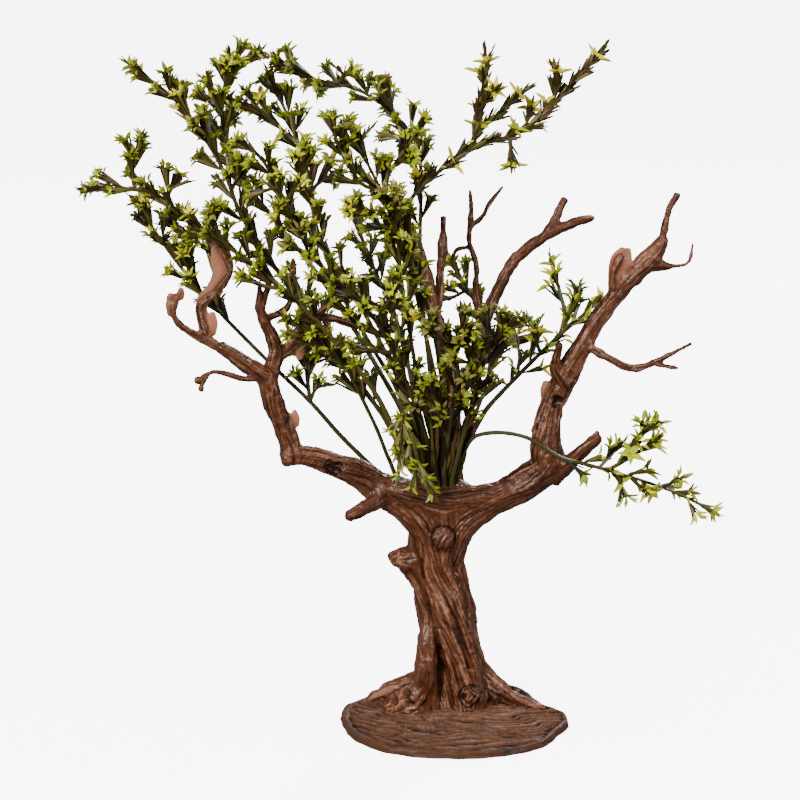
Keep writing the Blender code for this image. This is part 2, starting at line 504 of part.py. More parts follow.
def stand_edge(angle):
    """Distance of the stand's edge from its middle: a wavy round with a few dents."""
    oval = 1 / math.hypot(math.cos(angle) / STAND_RX, math.sin(angle) / STAND_RY)
    waves = sum(height * math.cos(count * angle + turn) for height, count, turn in STAND_WAVES)
    dents = sum(depth * math.exp(-(math.remainder(angle - middle, 2 * math.pi) / width) ** 2)
                for depth, middle, width in STAND_DENTS)
    return oval + waves - dents


def stand_solid(name, grow=0.0):
    bm = bmesh.new()
    rings = []
    for share in STAND_RINGS:
        ring = []
        for k in range(STAND_SIDES):
            angle = 2 * math.pi * k / STAND_SIDES
            reach = stand_edge(angle) * share + grow
            x = reach * math.cos(angle) + STAND_MIDDLE[0] * (1 - share)
            y = reach * math.sin(angle) + STAND_MIDDLE[1] * (1 - share)
            rise = 0.5 + 0.5 * math.cos(math.pi * share)
            ring.append(bm.verts.new(Vector((x, y, STAND_RIM + STAND_MOUND * rise + grow)) * MM))
        rings.append(ring)
    bottom = []
    for k in range(STAND_SIDES):
        angle = 2 * math.pi * k / STAND_SIDES
        reach = stand_edge(angle) + STAND_FLARE + grow
        bottom.append(bm.verts.new(
            Vector((reach * math.cos(angle), reach * math.sin(angle), -grow)) * MM))
    rings.insert(0, bottom)
    for outer, inner in zip(rings, rings[1:]):
        for k in range(STAND_SIDES):
            nxt = (k + 1) % STAND_SIDES
            bm.faces.new((outer[k], outer[nxt], inner[nxt], inner[k]))
    bm.faces.new(rings[-1])
    bm.faces.new(bottom[::-1])
    return new_object(name, bm)


# ---- trunk and limbs ----

def solid_from(shapes, grow=0.0):
    """One solid from several tubes, joined; or, grown by the gap, the loose cutters for it."""
    parts = [tube("shape", smooth_route(shape["route"], shape["step"]), shape["sides"],
                  shape["depth"], grow) for shape in shapes]
    if grow:
        return parts
    if len(parts) > 1:
        boolean(parts[0], parts[1:], "UNION")
    return parts[0]


def shapes_of(name):
    """The tubes that a named piece is made of."""
    if name == "trunk":
        return [dict(shape, step=TRUNK_STEP if key == "core" else ROOT_STEP)
                for key, shape in TRUNK.items()]
    limb = LIMBS[name]
    foot_radius = limb["route"][0][3]
    shapes = [dict(route=limb["route"], sides=limb["sides"], depth=limb["depth"],
                   step=LIMB_STEP[0] * foot_radius + LIMB_STEP[1])]
    for twig in limb.get("twigs", ()):
        shapes.append(dict(route=twig, sides=SIDE_TWIG_SIDES, depth=1.0, step=SIDE_TWIG_STEP))
    for low, high, reach in limb.get("flash", ()):
        middle = [(a + b) / 2 for a, b in zip(low, high)]
        route = [(*low, FLASH_END * reach), (*middle, reach), (*high, FLASH_END * reach)]
        shapes.append(dict(route=route, sides=FLASH_SIDES, depth=FLASH_DEPTH, step=FLASH_STEP))
    return shapes


def build_stand():
    finish(stand_solid("stand"), "stand", *STAND_FINISH)


def build_trunk():
    trunk = solid_from(shapes_of("trunk"))
    boolean(trunk, [stand_solid("stand_cut", GAP)], "DIFFERENCE")
    finish(keep_main_body(trunk), "trunk", *TRUNK_FINISH)


def build_limb(name):
    limb = solid_from(shapes_of(name))
    for neighbour in LIMBS[name]["cut_by"]:
        for shape in solid_from(shapes_of(neighbour), GAP):
            boolean(limb, [shape], "DIFFERENCE")
    finish(keep_main_body(limb), name, *LIMB_FINISH)


# ---- foliage ----

class Space:
    """Everything that stands in the crown, as straight pieces with a radius and an owner."""

    def __init__(self):
        self.start = np.zeros((0, 3))
        self.end = np.zeros((0, 3))
        self.radius = np.zeros(0)
        self.owner = np.zeros(0, dtype="U40")

    def add(self, owner, starts, ends, radii):
        self.start = np.vstack([self.start, starts])
        self.end = np.vstack([self.end, ends])
        self.radius = np.append(self.radius, radii)
        self.owner = np.append(self.owner, [owner] * len(starts))

    def add_route(self, owner, route, radii):
        self.add(owner, route[:-1], route[1:], np.maximum(radii[:-1], radii[1:]))

    def clear(self, allowed, start, end, radius):
        """True where a straight piece keeps the gap to all that is there, but for one owner."""
        other = self.owner != allowed
        distance = segment_distance(start, end, self.start[other], self.end[other])
        return bool(np.all(distance > radius + self.radius[other] + GAP))


def segment_distance(p, q, starts, ends):
    """Least distance from the segment p-q to each of many segments."""
    d1 = q - p
    d2 = ends - starts
    r = p - starts
    a = d1.dot(d1)
    e = np.maximum(np.einsum("ij,ij->i", d2, d2), 1e-9)
    f = np.einsum("ij,ij->i", d2, r)
    c = r @ d1
    b = d2 @ d1
    bottom = a * e - b * b
    s = np.where(bottom > 1e-9, np.clip((b * f - c * e) / np.maximum(bottom, 1e-9), 0, 1), 0)
    t = (b * s + f) / e
    s = np.where(t < 0, np.clip(-c / a, 0, 1), np.where(t > 1, np.clip((b - c) / a, 0, 1), s))
    t = np.clip(t, 0, 1)
    gap = (p + d1 * s[:, None]) - (starts + d2 * t[:, None])
    return np.linalg.norm(gap, axis=1)


def foot_points(sprig):
    """The start of a sprig's stem: its foot and, in the fork, a point straight above it."""
    if "foot" in sprig:
        return [sprig["foot"]]
    column, row = sprig["fork"]
    x, y, z = FORK_FIRST
    x += FORK_PITCH * column
    y += FORK_PITCH * row
    return [(x, y, z), (x, y, z + FORK_RISE)]


def sprig_chains():
    """The stems and twigs of every sprig as smooth chains of points."""
    chains = []
    for name, sprig in SPRIGS.items():
        for index, route in enumerate(sprig["routes"]):
            points = smooth_route(route if index else [*foot_points(sprig), *route], SAMPLE_STEP)
            foot_radius = STEM_RADIUS if index == 0 else TWIG_RADIUS
            radii = np.linspace(foot_radius, STEM_TIP_RADIUS, len(points))
            chains.append(dict(sprig=name, index=index, points=points, radii=radii))
    return chains


def root_twigs(chains):
    """Start each twig on the nearest point of its sprig's earlier chains."""
    for chain in chains:
        if chain["index"] == 0:
            continue
        earlier = [c["points"] for c in chains
                   if c["sprig"] == chain["sprig"] and c["index"] < chain["index"]]
        spots = np.vstack(earlier)
        nearest = spots[np.argmin(np.linalg.norm(spots - chain["points"][0], axis=1))]
        shift = nearest - chain["points"][0]
        fade = np.linspace(1, 0, len(chain["points"]))[:, None]
        chain["points"] += shift * fade


def ease_apart(chains, limbs):
    """Move stems of different sprigs forward or back until they clear each other and the limbs."""
    limb_points = np.vstack([route[:, :3] for route in limbs])
    limb_radii = np.concatenate([route[:, 3] for route in limbs])
    names = list(SPRIGS)
    radii = np.concatenate([c["radii"] for c in chains])
    owner = np.concatenate([[i] * len(c["points"]) for i, c in enumerate(chains)])
    sprig = np.array([names.index(chains[i]["sprig"]) for i in owner])
    same = sprig[:, None] == sprig[None]
    order = np.sign(sprig[:, None] - sprig[None])
    for _ in range(EASE_ROUNDS):
        points = np.vstack([c["points"] for c in chains])
        apart = points[:, None] - points[None]
        short = radii[:, None] + radii[None] + GAP + EASE_ROOM - np.linalg.norm(apart, axis=2)
        short[same] = 0
        sign = np.where(np.abs(apart[:, :, 1]) > 1e-3, np.sign(apart[:, :, 1]), order)
        push = np.sum(np.maximum(short, 0) * sign, axis=1) * EASE_STEMS
        apart = points[:, None] - limb_points[None]
        short = radii[:, None] + limb_radii[None] + GAP + EASE_ROOM - np.linalg.norm(apart, axis=2)
        push += np.sum(np.maximum(short, 0) * np.sign(apart[:, :, 1]), axis=1) * EASE_LIMBS
        push = np.clip(push, -EASE_MOST, EASE_MOST)
        for i, chain in enumerate(chains):
            move = np.pad(push[owner == i], len(EASE_BLUR) // 2, mode="edge")
            move = np.convolve(move, EASE_BLUR, "valid")
            if chain["index"] == 0:
                move *= np.clip((np.arange(len(move)) - EASE_FOOT[0]) / EASE_FOOT[1], 0, 1)
            chain["points"][:, 1] += move
        root_twigs(chains)


def perpendicular(direction, angle):
    """A unit vector square to the direction, turned about it by the angle."""
    helper = np.array((0.0, 1.0, 0.0)) if abs(direction[1]) < 0.9 else np.array((1.0, 0, 0))
    u = np.cross(direction, helper)
    u /= np.linalg.norm(u)
    return u * math.cos(angle) + np.cross(direction, u) * math.sin(angle)


def leaf_points(foot, direction, length, turn, reaches):
    """Where a shoot's waist and the points of its leaves are."""
    spread = math.radians(LEAF_SPREAD)
    waist = foot + direction * length * SHOOT_WAIST
    points = []
    for k, reach in enumerate(reaches):
        outward = perpendicular(direction, turn + 2 * math.pi * k / len(reaches))
        points.append(waist + (direction * math.cos(spread) + outward * math.sin(spread)) * reach)
    return waist, points


def shoot_sites(chain, bare, chance):
    """Where shoots leave a chain: spiralling round it, and one that ends it."""
    points = chain["points"]
    along = np.concatenate([[0], np.cumsum(np.linalg.norm(np.diff(points, axis=0), axis=1))])
    reach = along[-1]
    tangents = route_frames(points)[0]
    if chain["index"] == 0:
        place = reach * bare
    else:
        place = min(TWIG_BARE[0], reach * TWIG_BARE[1])
    sites = []
    turn = chance.uniform(0, 2 * math.pi)
    while place < reach - SHOOT_END:
        spot = np.array([np.interp(place, along, points[:, k]) for k in range(3)])
        tangent = np.array([np.interp(place, along, tangents[:, k]) for k in range(3)])
        lean = math.radians(chance.uniform(*SHOOT_LEAN))
        way = tangent * math.cos(lean) + perpendicular(tangent, turn) * math.sin(lean)
        way = way + np.array((0, 0, SHOOT_RISE))
        sites.append((spot, way / np.linalg.norm(way), chance.uniform(*SHOOT_LENGTH)))
        place += SHOOT_STEP * chance.uniform(*SHOOT_JITTER)
        turn += GOLDEN_ANGLE
    last = points[-1] - tangents[-1] * SHOOT_LENGTH[0]
    sites.append((last, tangents[-1], SHOOT_LENGTH[0]))
    return sites


def grow_sprigs():
    """Plan all sprigs together, so that each keeps to its own space."""
    limb_routes = [smooth_route(shape["route"], SAMPLE_STEP)
                   for name in LIMBS for shape in shapes_of(name)]
    chains = sprig_chains()
    root_twigs(chains)
    ease_apart(chains, limb_routes)
    space = Space()
    for name in ("trunk", *LIMBS):
        for shape in shapes_of(name):
            route = smooth_route(shape["route"], SAMPLE_STEP)
            space.add_route(name, route[:, :3], route[:, 3])
    kept = []
    for chain in chains:
        lines = zip(chain["points"], chain["points"][1:])
        if chain["index"] == 0 or all(
                space.clear(chain["sprig"], a, b, TWIG_RADIUS) for a, b in lines):
            space.add_route(chain["sprig"], chain["points"], chain["radii"])
            kept.append(chain)
    return kept, plan_shoots(kept, space)


def plan_shoots(chains, space):
    """Give the chains their shoots in turn; one that would touch anything is left out."""
    plans = {name: [] for name in SPRIGS}
    queues = []
    for chain in chains:
        chance = random.Random(f"{chain['sprig']} {chain['index']}")
        sites = shoot_sites(chain, SPRIGS[chain["sprig"]]["bare"], chance)
        queues.append((chain["sprig"], chance, sites[::-1]))
    for number in range(max(len(sites) for _, _, sites in queues)):
        for sprig, chance, sites in queues:
            if number >= len(sites):
                continue
            foot, way, length = sites[number]
            reaches = [chance.uniform(*LEAF_LENGTH) for _ in range(LEAVES_PER_SHOOT)]
            for _ in range(SHOOT_TRIES):
                turn = chance.uniform(0, 2 * math.pi)
                waist, points = leaf_points(foot, way, length, turn, reaches)
                if space.clear(sprig, foot, waist, SHOOT_RADIUS) and all(
                        space.clear("", waist, point, LEAF_RADIUS) for point in points):
                    space.add(sprig + " shoot", [foot] + [waist] * len(points), [waist] + points,
                              [SHOOT_RADIUS] + [LEAF_RADIUS] * len(points))
                    plans[sprig].append((foot, way, length, turn, reaches))
                    break
    return plans


def build_sprig(name, chains, plan):
    """Join a sprig's stem, twigs, shoots and leaves into one solid, clear of what carries it."""
    parts = []
    for chain in chains:
        if chain["sprig"] != name:
            continue
        route = np.hstack([chain["points"], chain["radii"][:, None]])
        route = smooth_route(route, STEM_STEP)
        parts.append(tube("stem", route, 3, pointed=True))
    parts += [shoot_star("shoot", *shoot) for shoot in plan]
    sprig = boolean(parts[0], parts[1:], "UNION", SOLVER)
    carriers = [shapes_of(piece)[0] for piece in FORK_PIECES]
    for cutter in solid_from(carriers, GAP):
        boolean(sprig, [cutter], "DIFFERENCE")
    finish(keep_main_body(sprig), name, *FOLIAGE_FINISH)


def main():
    for obj in list(bpy.data.objects):
        bpy.data.objects.remove(obj)
    build_stand()
    build_trunk()
    for name in LIMBS:
        build_limb(name)
    chains, plans = grow_sprigs()
    for name in SPRIGS:
        build_sprig(name, chains, plans[name])


main()
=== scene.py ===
# Moulded model olive tree on its oval stand: engraved bark and stand, sprigs of plastic foliage
# Sizes in the dictionaries are in millimetres; the meshes are in metres

import itertools
import math
import random

import bpy
import numpy as np
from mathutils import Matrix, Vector


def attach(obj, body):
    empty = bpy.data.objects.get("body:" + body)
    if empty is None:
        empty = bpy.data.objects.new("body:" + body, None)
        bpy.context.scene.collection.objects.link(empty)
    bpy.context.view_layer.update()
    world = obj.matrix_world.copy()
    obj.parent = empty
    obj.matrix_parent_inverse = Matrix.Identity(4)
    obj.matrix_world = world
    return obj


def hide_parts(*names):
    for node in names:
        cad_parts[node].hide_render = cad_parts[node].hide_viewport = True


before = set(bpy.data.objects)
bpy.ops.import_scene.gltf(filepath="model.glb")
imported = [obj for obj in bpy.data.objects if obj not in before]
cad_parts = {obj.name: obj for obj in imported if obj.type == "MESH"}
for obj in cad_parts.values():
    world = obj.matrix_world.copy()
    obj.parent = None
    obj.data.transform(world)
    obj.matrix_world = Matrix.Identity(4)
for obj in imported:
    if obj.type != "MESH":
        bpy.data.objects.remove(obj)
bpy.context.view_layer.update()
print("frame loaded:", len(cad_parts), "nodes")

mm = 0.001
fullTurn = 6.28   # about a whole turn, for leaves set at random


def deselectAll():
    if bpy.context.object and bpy.context.object.mode != "OBJECT":
        bpy.ops.object.mode_set(mode="OBJECT")
    bpy.ops.object.select_all(action="DESELECT")


def pick(obj):
    deselectAll()
    obj.select_set(True)
    bpy.context.view_layer.objects.active = obj
    return obj


def joinAll(objs, name):
    pick(objs[0])
    for obj in objs[1:]:
        obj.select_set(True)
    bpy.ops.object.join()
    objs[0].name = name
    return objs[0]


def applyModifier(obj, kind, **settings):
    pick(obj)
    modifier = obj.modifiers.new("shape", kind)
    for key, value in settings.items():
        setattr(modifier, key, value)
    bpy.ops.object.modifier_apply(modifier=modifier.name)


def vertexArray(obj):
    flat = np.zeros(len(obj.data.vertices) * 3, np.float32)
    obj.data.vertices.foreach_get("co", flat)
    return flat.reshape(-1, 3).astype(float) / mm


def setVertices(obj, points):
    obj.data.vertices.foreach_set("co", (points * mm).astype(np.float32).ravel())
    obj.data.update()


def vertexNormals(obj):
    flat = np.zeros(len(obj.data.vertices) * 3, np.float32)
    obj.data.vertices.foreach_get("normal", flat)
    return flat.reshape(-1, 3).astype(float)


def keepValue(obj, name, values):
    layer = obj.data.attributes.new(name, "FLOAT", "POINT")
    layer.data.foreach_set("value", np.asarray(values, np.float32))


def smoothStep(low, high, value):
    share = np.clip((value - low) / (high - low), 0, 1)
    return share * share * (3 - 2 * share)


def wave(points, seed):  # smooth random value from -1 to 1, one cell per unit
    cell = np.floor(points).astype(np.int64)
    part = points - cell
    part = part * part * (3 - 2 * part)
    total = np.zeros(len(points))
    for corner in itertools.product((0, 1), repeat=3):
        spot = cell + np.array(corner)
        mixed = (spot[:, 0] * 73856093 ^ spot[:, 1] * 19349663 ^ spot[:, 2] * 83492791
                 ^ seed * 265443)
        mixed = (mixed ^ (mixed >> 13)) * 1274126177
        value = ((mixed ^ (mixed >> 16)) & 0xFFFF) / 32767.5 - 1
        total += value * np.prod(np.where(corner, part, 1 - part), axis=1)
    return total


class Wire:  # a socket that adds Math nodes as it is reckoned with
    def __init__(self, finish, socket):
        self.finish = finish
        self.socket = socket

    def sum(self, operation, *values):
        return self.finish.node("ShaderNodeMath", {"operation": operation}, dict(enumerate(values)))

    def __add__(self, other):
        return self.sum("ADD", self, other)

    __radd__ = __add__

    def __sub__(self, other):
        return self.sum("SUBTRACT", self, other)

    def __rsub__(self, other):
        return self.sum("SUBTRACT", other, self)

    def __mul__(self, other):
        return self.sum("MULTIPLY", self, other)

    __rmul__ = __mul__


class Finish:  # a material and the nodes that make it
    def __init__(self, name):
        self.material = bpy.data.materials.new(name)
        self.material.use_nodes = True
        self.tree = self.material.node_tree
        self.shader = self.tree.nodes["Principled BSDF"]

    def feed(self, node, inputs):
        for key, value in inputs.items():
            socket = node.inputs[key]
            if isinstance(value, Wire):
                self.tree.links.new(value.socket, socket)
            elif isinstance(value, tuple) and len(value) == 3 and socket.type == "RGBA":
                socket.default_value = (*value, 1)
            else:
                socket.default_value = value

    def node(self, kind, settings=None, inputs=None, out=0):
        made = self.tree.nodes.new(kind)
        for key, value in (settings or {}).items():
            setattr(made, key, value)
        self.feed(made, inputs or {})
        return Wire(self, made.outputs[out])

    def value(self, name):  # a number kept on the mesh
        return self.node("ShaderNodeAttribute", {"attribute_name": name}, out="Fac")

    def place(self):
        return self.node("ShaderNodeTexCoord", out="Object")

    def height(self):
        return self.node("ShaderNodeSeparateXYZ", {}, {0: self.place()}, out=2)

    def noise(self, scale, detail):
        inputs = {"Vector": self.place(), "Scale": scale, "Detail": detail}
        return self.node("ShaderNodeTexNoise", {}, inputs)

    def between(self, value, low, high):
        inputs = {"Value": value, "From Min": low, "From Max": high}
        return self.node("ShaderNodeMapRange", {"interpolation_type": "SMOOTHSTEP"}, inputs)

    def blend(self, factor, first, second):
        inputs = {0: factor, 6: first, 7: second}
        return self.node("ShaderNodeMix", {"data_type": "RGBA"}, inputs, out=2)

    def set(self, **sockets):
        self.feed(self.shader, {key.replace("_", " "): value for key, value in sockets.items()})

    def bump(self, height, strength, distance):
        inputs = {"Height": height, "Strength": strength, "Distance": distance}
        self.set(Normal=self.node("ShaderNodeBump", {}, inputs))


# Points are (x, y, z, radius); a lobe of mould flash is its lower and upper middle and half width
trunk = {
    "core": dict(depth=0.9, route=[
        (2.2, 10, 1.5, 14.5), (1.6, 10, 8.5, 11.4), (0.7, 9, 17.4, 10.5), (-1.2, 8, 26.2, 10.7),
        (-2.8, 7, 36.6, 10.4), (-5.1, 6, 48, 10.3), (-6.9, 5, 58.2, 10.2), (-6.6, 4.5, 67.5, 10.6),
        (-5.6, 4, 77, 12.2), (-5, 4, 84, 12.6), (-5, 4, 88, 10.8), (-5, 4, 90.2, 6.4)]),
    "leftLeg": dict(depth=0.9, route=[
        (-8.5, 4, 40, 2.2), (-11.2, 2.5, 30, 3.2), (-10.4, 1, 22, 3.7), (-10, 1, 12, 4.1),
        (-10.8, 1, 2, 5.4)]),
    "leftRoot": dict(depth=1, route=[
        (-3, 11, 16, 5), (-12, 12, 11, 5), (-18, 12, 9, 4.6), (-24, 13, 6.4, 4.2),
        (-30, 14, 3.4, 3)]),
    "rightRoot": dict(depth=1, route=[
        (4, 10, 18.5, 5.5), (10, 9, 13.6, 5), (16, 8, 9.2, 3.9), (22, 8, 5.4, 2.9),
        (33, 7, 2.2, 1.5)]),
    "frontRoot": dict(depth=1, route=[(3.5, 6, 22, 3.2), (5.2, 3.6, 14, 4.4), (7, 2, 1, 5.4)]),
    "backRoot": dict(depth=1, route=[
        (1, 13, 20, 4.5), (3, 20, 10, 4.8), (5, 26, 6, 3.6), (8, 32, 3, 2.4)]),
    "burl": dict(depth=0.9, route=[
        (-10, 4, 61, 5.2), (-17, 2.5, 61.4, 4.5), (-21.5, 2, 62, 3.2), (-24.4, 1.5, 63, 1.2)]),
    "knot": dict(depth=1, route=[
        (-5.2, 0, 71, 5.2), (-5.1, -6.4, 71.4, 4.8), (-5, -7, 71.6, 3.6)]),
}

limbs = {
    "bough_left_low": dict(depth=0.92, route=[
        (-9.6, 4, 80.2, 7.8), (-20.5, 3, 84.5, 6.9), (-28.5, 1, 88.7, 5.7), (-36.8, -1, 94.8, 4.9),
        (-54.3, -5, 101.8, 3.7), (-62, -6, 102, 4.1)]),
    "bough_left_up": dict(depth=0.92, route=[
        (-59.4, -6, 101.5, 4), (-60.7, -6, 108.7, 3.8), (-65.8, -8, 123.1, 3.9),
        (-68.4, -8, 133, 3.6)],
        flash=[((-57.7, -7, 113), (-58.3, -7, 119), 1.9)]),
    "stub_under_left": dict(depth=0.9, route=[
        (-25, 0, 88.5, 2.6), (-29.2, -4, 84.4, 2.1), (-39.6, -9, 79.8, 1.3)]),
    "bough_left_inner": dict(depth=0.85, route=[
        (-67.4, -7.5, 130, 3.3), (-64.8, -4.6, 141, 2.8), (-70.3, -5, 155.2, 1.8),
        (-70.2, -5, 164.2, 0.7)], twigs=[
        [(-70, -5, 155, 1.3), (-67.4, -4, 163.7, 0.9), (-68.4, -4, 166.9, 0.6)],
        [(-69, -4.6, 151.5, 1.4), (-60.5, 0, 155.7, 1.3), (-58.7, 2, 166.2, 1.2),
         (-58.7, 2, 172.4, 0.8)]]),
    "bough_left_inner_b": dict(depth=0.85, route=[
        (-65, -5, 137, 2.4), (-59, -3, 142.6, 2.3), (-55.1, -3, 149.4, 1.8),
        (-44.7, -3, 157, 0.9)], twigs=[
        [(-52, -3, 151.7, 1.5), (-45.9, 0, 151.5, 1.4), (-40.9, 2, 149.9, 1.5),
         (-36, 3, 147.5, 1.2)]],
        flash=[((-56.6, -3, 136.8), (-55.2, -3, 143.6), 2.1)]),
    "bough_left_outer": dict(depth=0.85, route=[
        (-67.8, -8.6, 131.4, 3), (-81.4, -12, 141.4, 2.2), (-98.3, -16, 152.2, 1.3),
        (-100.2, -16, 162.6, 1.3)], twigs=[
        [(-99.9, -16, 157, 0.9), (-98.9, -16, 160.8, 0.9), (-97.4, -16, 163.8, 1.1)]],
        flash=[((-101.2, -16, 155), (-101.2, -16, 163), 1.9),
               ((-97.6, -16, 160.8), (-97.3, -16, 165), 1.7)]),
    "twig_left": dict(depth=1, route=[
        (-68, -9, 131.6, 1.3), (-75.5, -13, 131.8, 1), (-85.9, -16, 135, 0.9),
        (-92.1, -18, 132.2, 0.6)], twigs=[
        [(-88.6, -17, 133.6, 0.8), (-90, -18, 131.4, 0.7), (-90.7, -19, 128.4, 0.5)]]),
    "bough_left_upright": dict(depth=0.6, route=[
        (-88.7, -13.4, 145.4, 2.2), (-90.7, -11, 156.4, 2.2), (-89.5, -11, 160.6, 2.4),
        (-84.6, -11, 165.6, 2.8), (-82.1, -11, 171.4, 3.1), (-83.2, -11, 177.5, 2.7),
        (-86.2, -11, 181, 1.2)],
        flash=[((-86.9, -12, 147.5), (-86.8, -12, 155.5), 2.2),
               ((-84.6, -11.2, 167), (-85.8, -11.2, 178.6), 2.2)]),
    "bough_right_low": dict(depth=0.92, route=[
        (-1.5, 4, 79.8, 7.2), (7.9, 3, 81.2, 6.5), (15.9, 2, 84.6, 5.7), (30.3, 2, 93.6, 6.1),
        (33.9, 2, 97.7, 6.4)]),
    "bough_right_up": dict(depth=0.9, route=[
        (33.9, 2, 97.1, 6.3), (32.4, 2, 103.8, 5.7), (33.7, 3, 116.2, 4.5), (39, 4, 128.9, 4.5),
        (46.1, 5, 141.6, 3.6), (52.9, 6, 153.1, 3.4), (62.1, 7, 164.1, 3.1), (67.5, 8, 168.8, 2.8),
        (73.5, 8, 175.4, 1.8)],
        flash=[((28.4, 2, 107.6), (28.2, 2, 111.4), 1.7), ((31.4, 3, 121), (32, 3, 127.6), 1.9)]),
    "stub_elbow_right": dict(depth=0.9, route=[
        (34.5, 1, 93, 4.6), (38.6, -0.5, 96.6, 3.4), (43, -2, 101.6, 2.3), (51.1, -4, 108.6, 1.8)],
        flash=[((49.4, -4, 107.6), (50.6, -4, 110.6), 1.7)]),
    "bough_right_side": dict(depth=1, route=[
        (46, 4, 141.4, 1.7), (55.6, 0, 136, 1.5), (65.5, -2, 133.6, 1.3), (83.3, -5, 143, 0.6)],
        twigs=[[(69.4, -3, 135.9, 1), (75, -4, 134.5, 0.8), (79.2, -5, 134.1, 0.5)]]),
    "fin_right": dict(depth=0.3, route=[
        (57.3, 7, 158.4, 3.4), (57.2, 6, 170.6, 2.9), (59.7, 6, 175.1, 1.8)],
        flash=[((56.4, 6.4, 160), (57.4, 6.4, 173), 3), ((59.8, 6.2, 165), (61, 6.2, 175.4), 2.4)]),
    "tip_right": dict(depth=1, route=[
        (72.8, 8, 173.6, 1.3), (75.3, 8, 188, 1.3), (78.6, 8, 194.9, 1.2)]),
    "twig_right": dict(depth=1, route=[
        (71.8, 8, 171.2, 1.1), (76.4, 7, 169, 0.9), (82.7, 6, 170.4, 0.7), (84.3, 6, 177.5, 0.45)]),
    "stub_inner_right": dict(depth=0.9, route=[
        (39, 3, 128.2, 1.9), (35.2, 0, 135.3, 1.6), (36.1, -1, 141, 1)]),
    "bough_back": dict(depth=0.9, route=[
        (-3, 11.5, 80, 6), (-4, 14.6, 103.2, 5.6), (-2.2, 18, 122.9, 3.9), (-5.5, 22, 140.8, 3.1),
        (-8.4, 24, 149, 2.8), (-11.4, 26, 163.5, 2.4), (-14.6, 28, 175.4, 1.6),
        (-17.2, 29, 180.4, 1.2)], twigs=[
        [(-12, 26.4, 166.5, 1.5), (-16.8, 27, 169.3, 1.4), (-20.9, 27, 171.9, 1.2)]]),
    "stump_back": dict(depth=0.9, route=[
        (-5, 13, 103, 3.8), (-8.3, 9.6, 113.5, 3.2), (-9.3, 8.6, 120.9, 2.4)]),
    "bough_back_bulge": dict(depth=1, route=[
        (-8.2, 24.6, 146.8, 2), (-6.2, 28, 152.7, 1.7), (-5.8, 30, 161.3, 1.6),
        (-4.7, 32, 173.4, 1.9), (-4.6, 32, 178.4, 1), (-4.6, 32, 182.9, 1.3)]),
    "bough_back_mid": dict(depth=1, route=[
        (-2.2, 17.6, 118.1, 3), (3, 22, 124, 2.6), (7.1, 25, 131.6, 2.4), (9.2, 28, 141.5, 2),
        (7.5, 31, 155.5, 1.4), (7.5, 32, 165.1, 1.2), (4.9, 33, 174.2, 1.1), (5.6, 34, 184.8, 1),
        (5.1, 34, 192.6, 0.7)], twigs=[
        [(4.8, 34, 178.4, 1), (9.6, 34, 182.6, 0.9), (12.1, 34, 187.4, 0.9),
         (17.2, 34, 193.9, 0.5)],
        [(5.6, 33, 171.6, 0.8), (1.6, 34, 171, 0.8), (-0.4, 34.6, 169.4, 0.7),
         (-1.2, 34.8, 166.4, 0.7)]]),
    "bough_back_right": dict(depth=1, route=[
        (8.6, 27.4, 138.5, 2.2), (11.6, 30.6, 147.9, 2), (20.5, 36, 165.1, 1.8),
        (33.8, 39, 175.1, 1.6), (43.1, 40, 179.4, 1.6), (51.2, 40, 181.5, 1.1)], twigs=[
        [(33, 39, 174, 1.5), (36, 40, 179.4, 1.5), (40.5, 42, 188.6, 1.2)]]),
    "stub_back_right": dict(depth=1, route=[
        (8.4, 26.6, 137, 1.9), (14.5, 25.6, 137, 1.7), (25.4, 24.6, 138.8, 1.7),
        (30.5, 24, 141.5, 1.5)]),
}

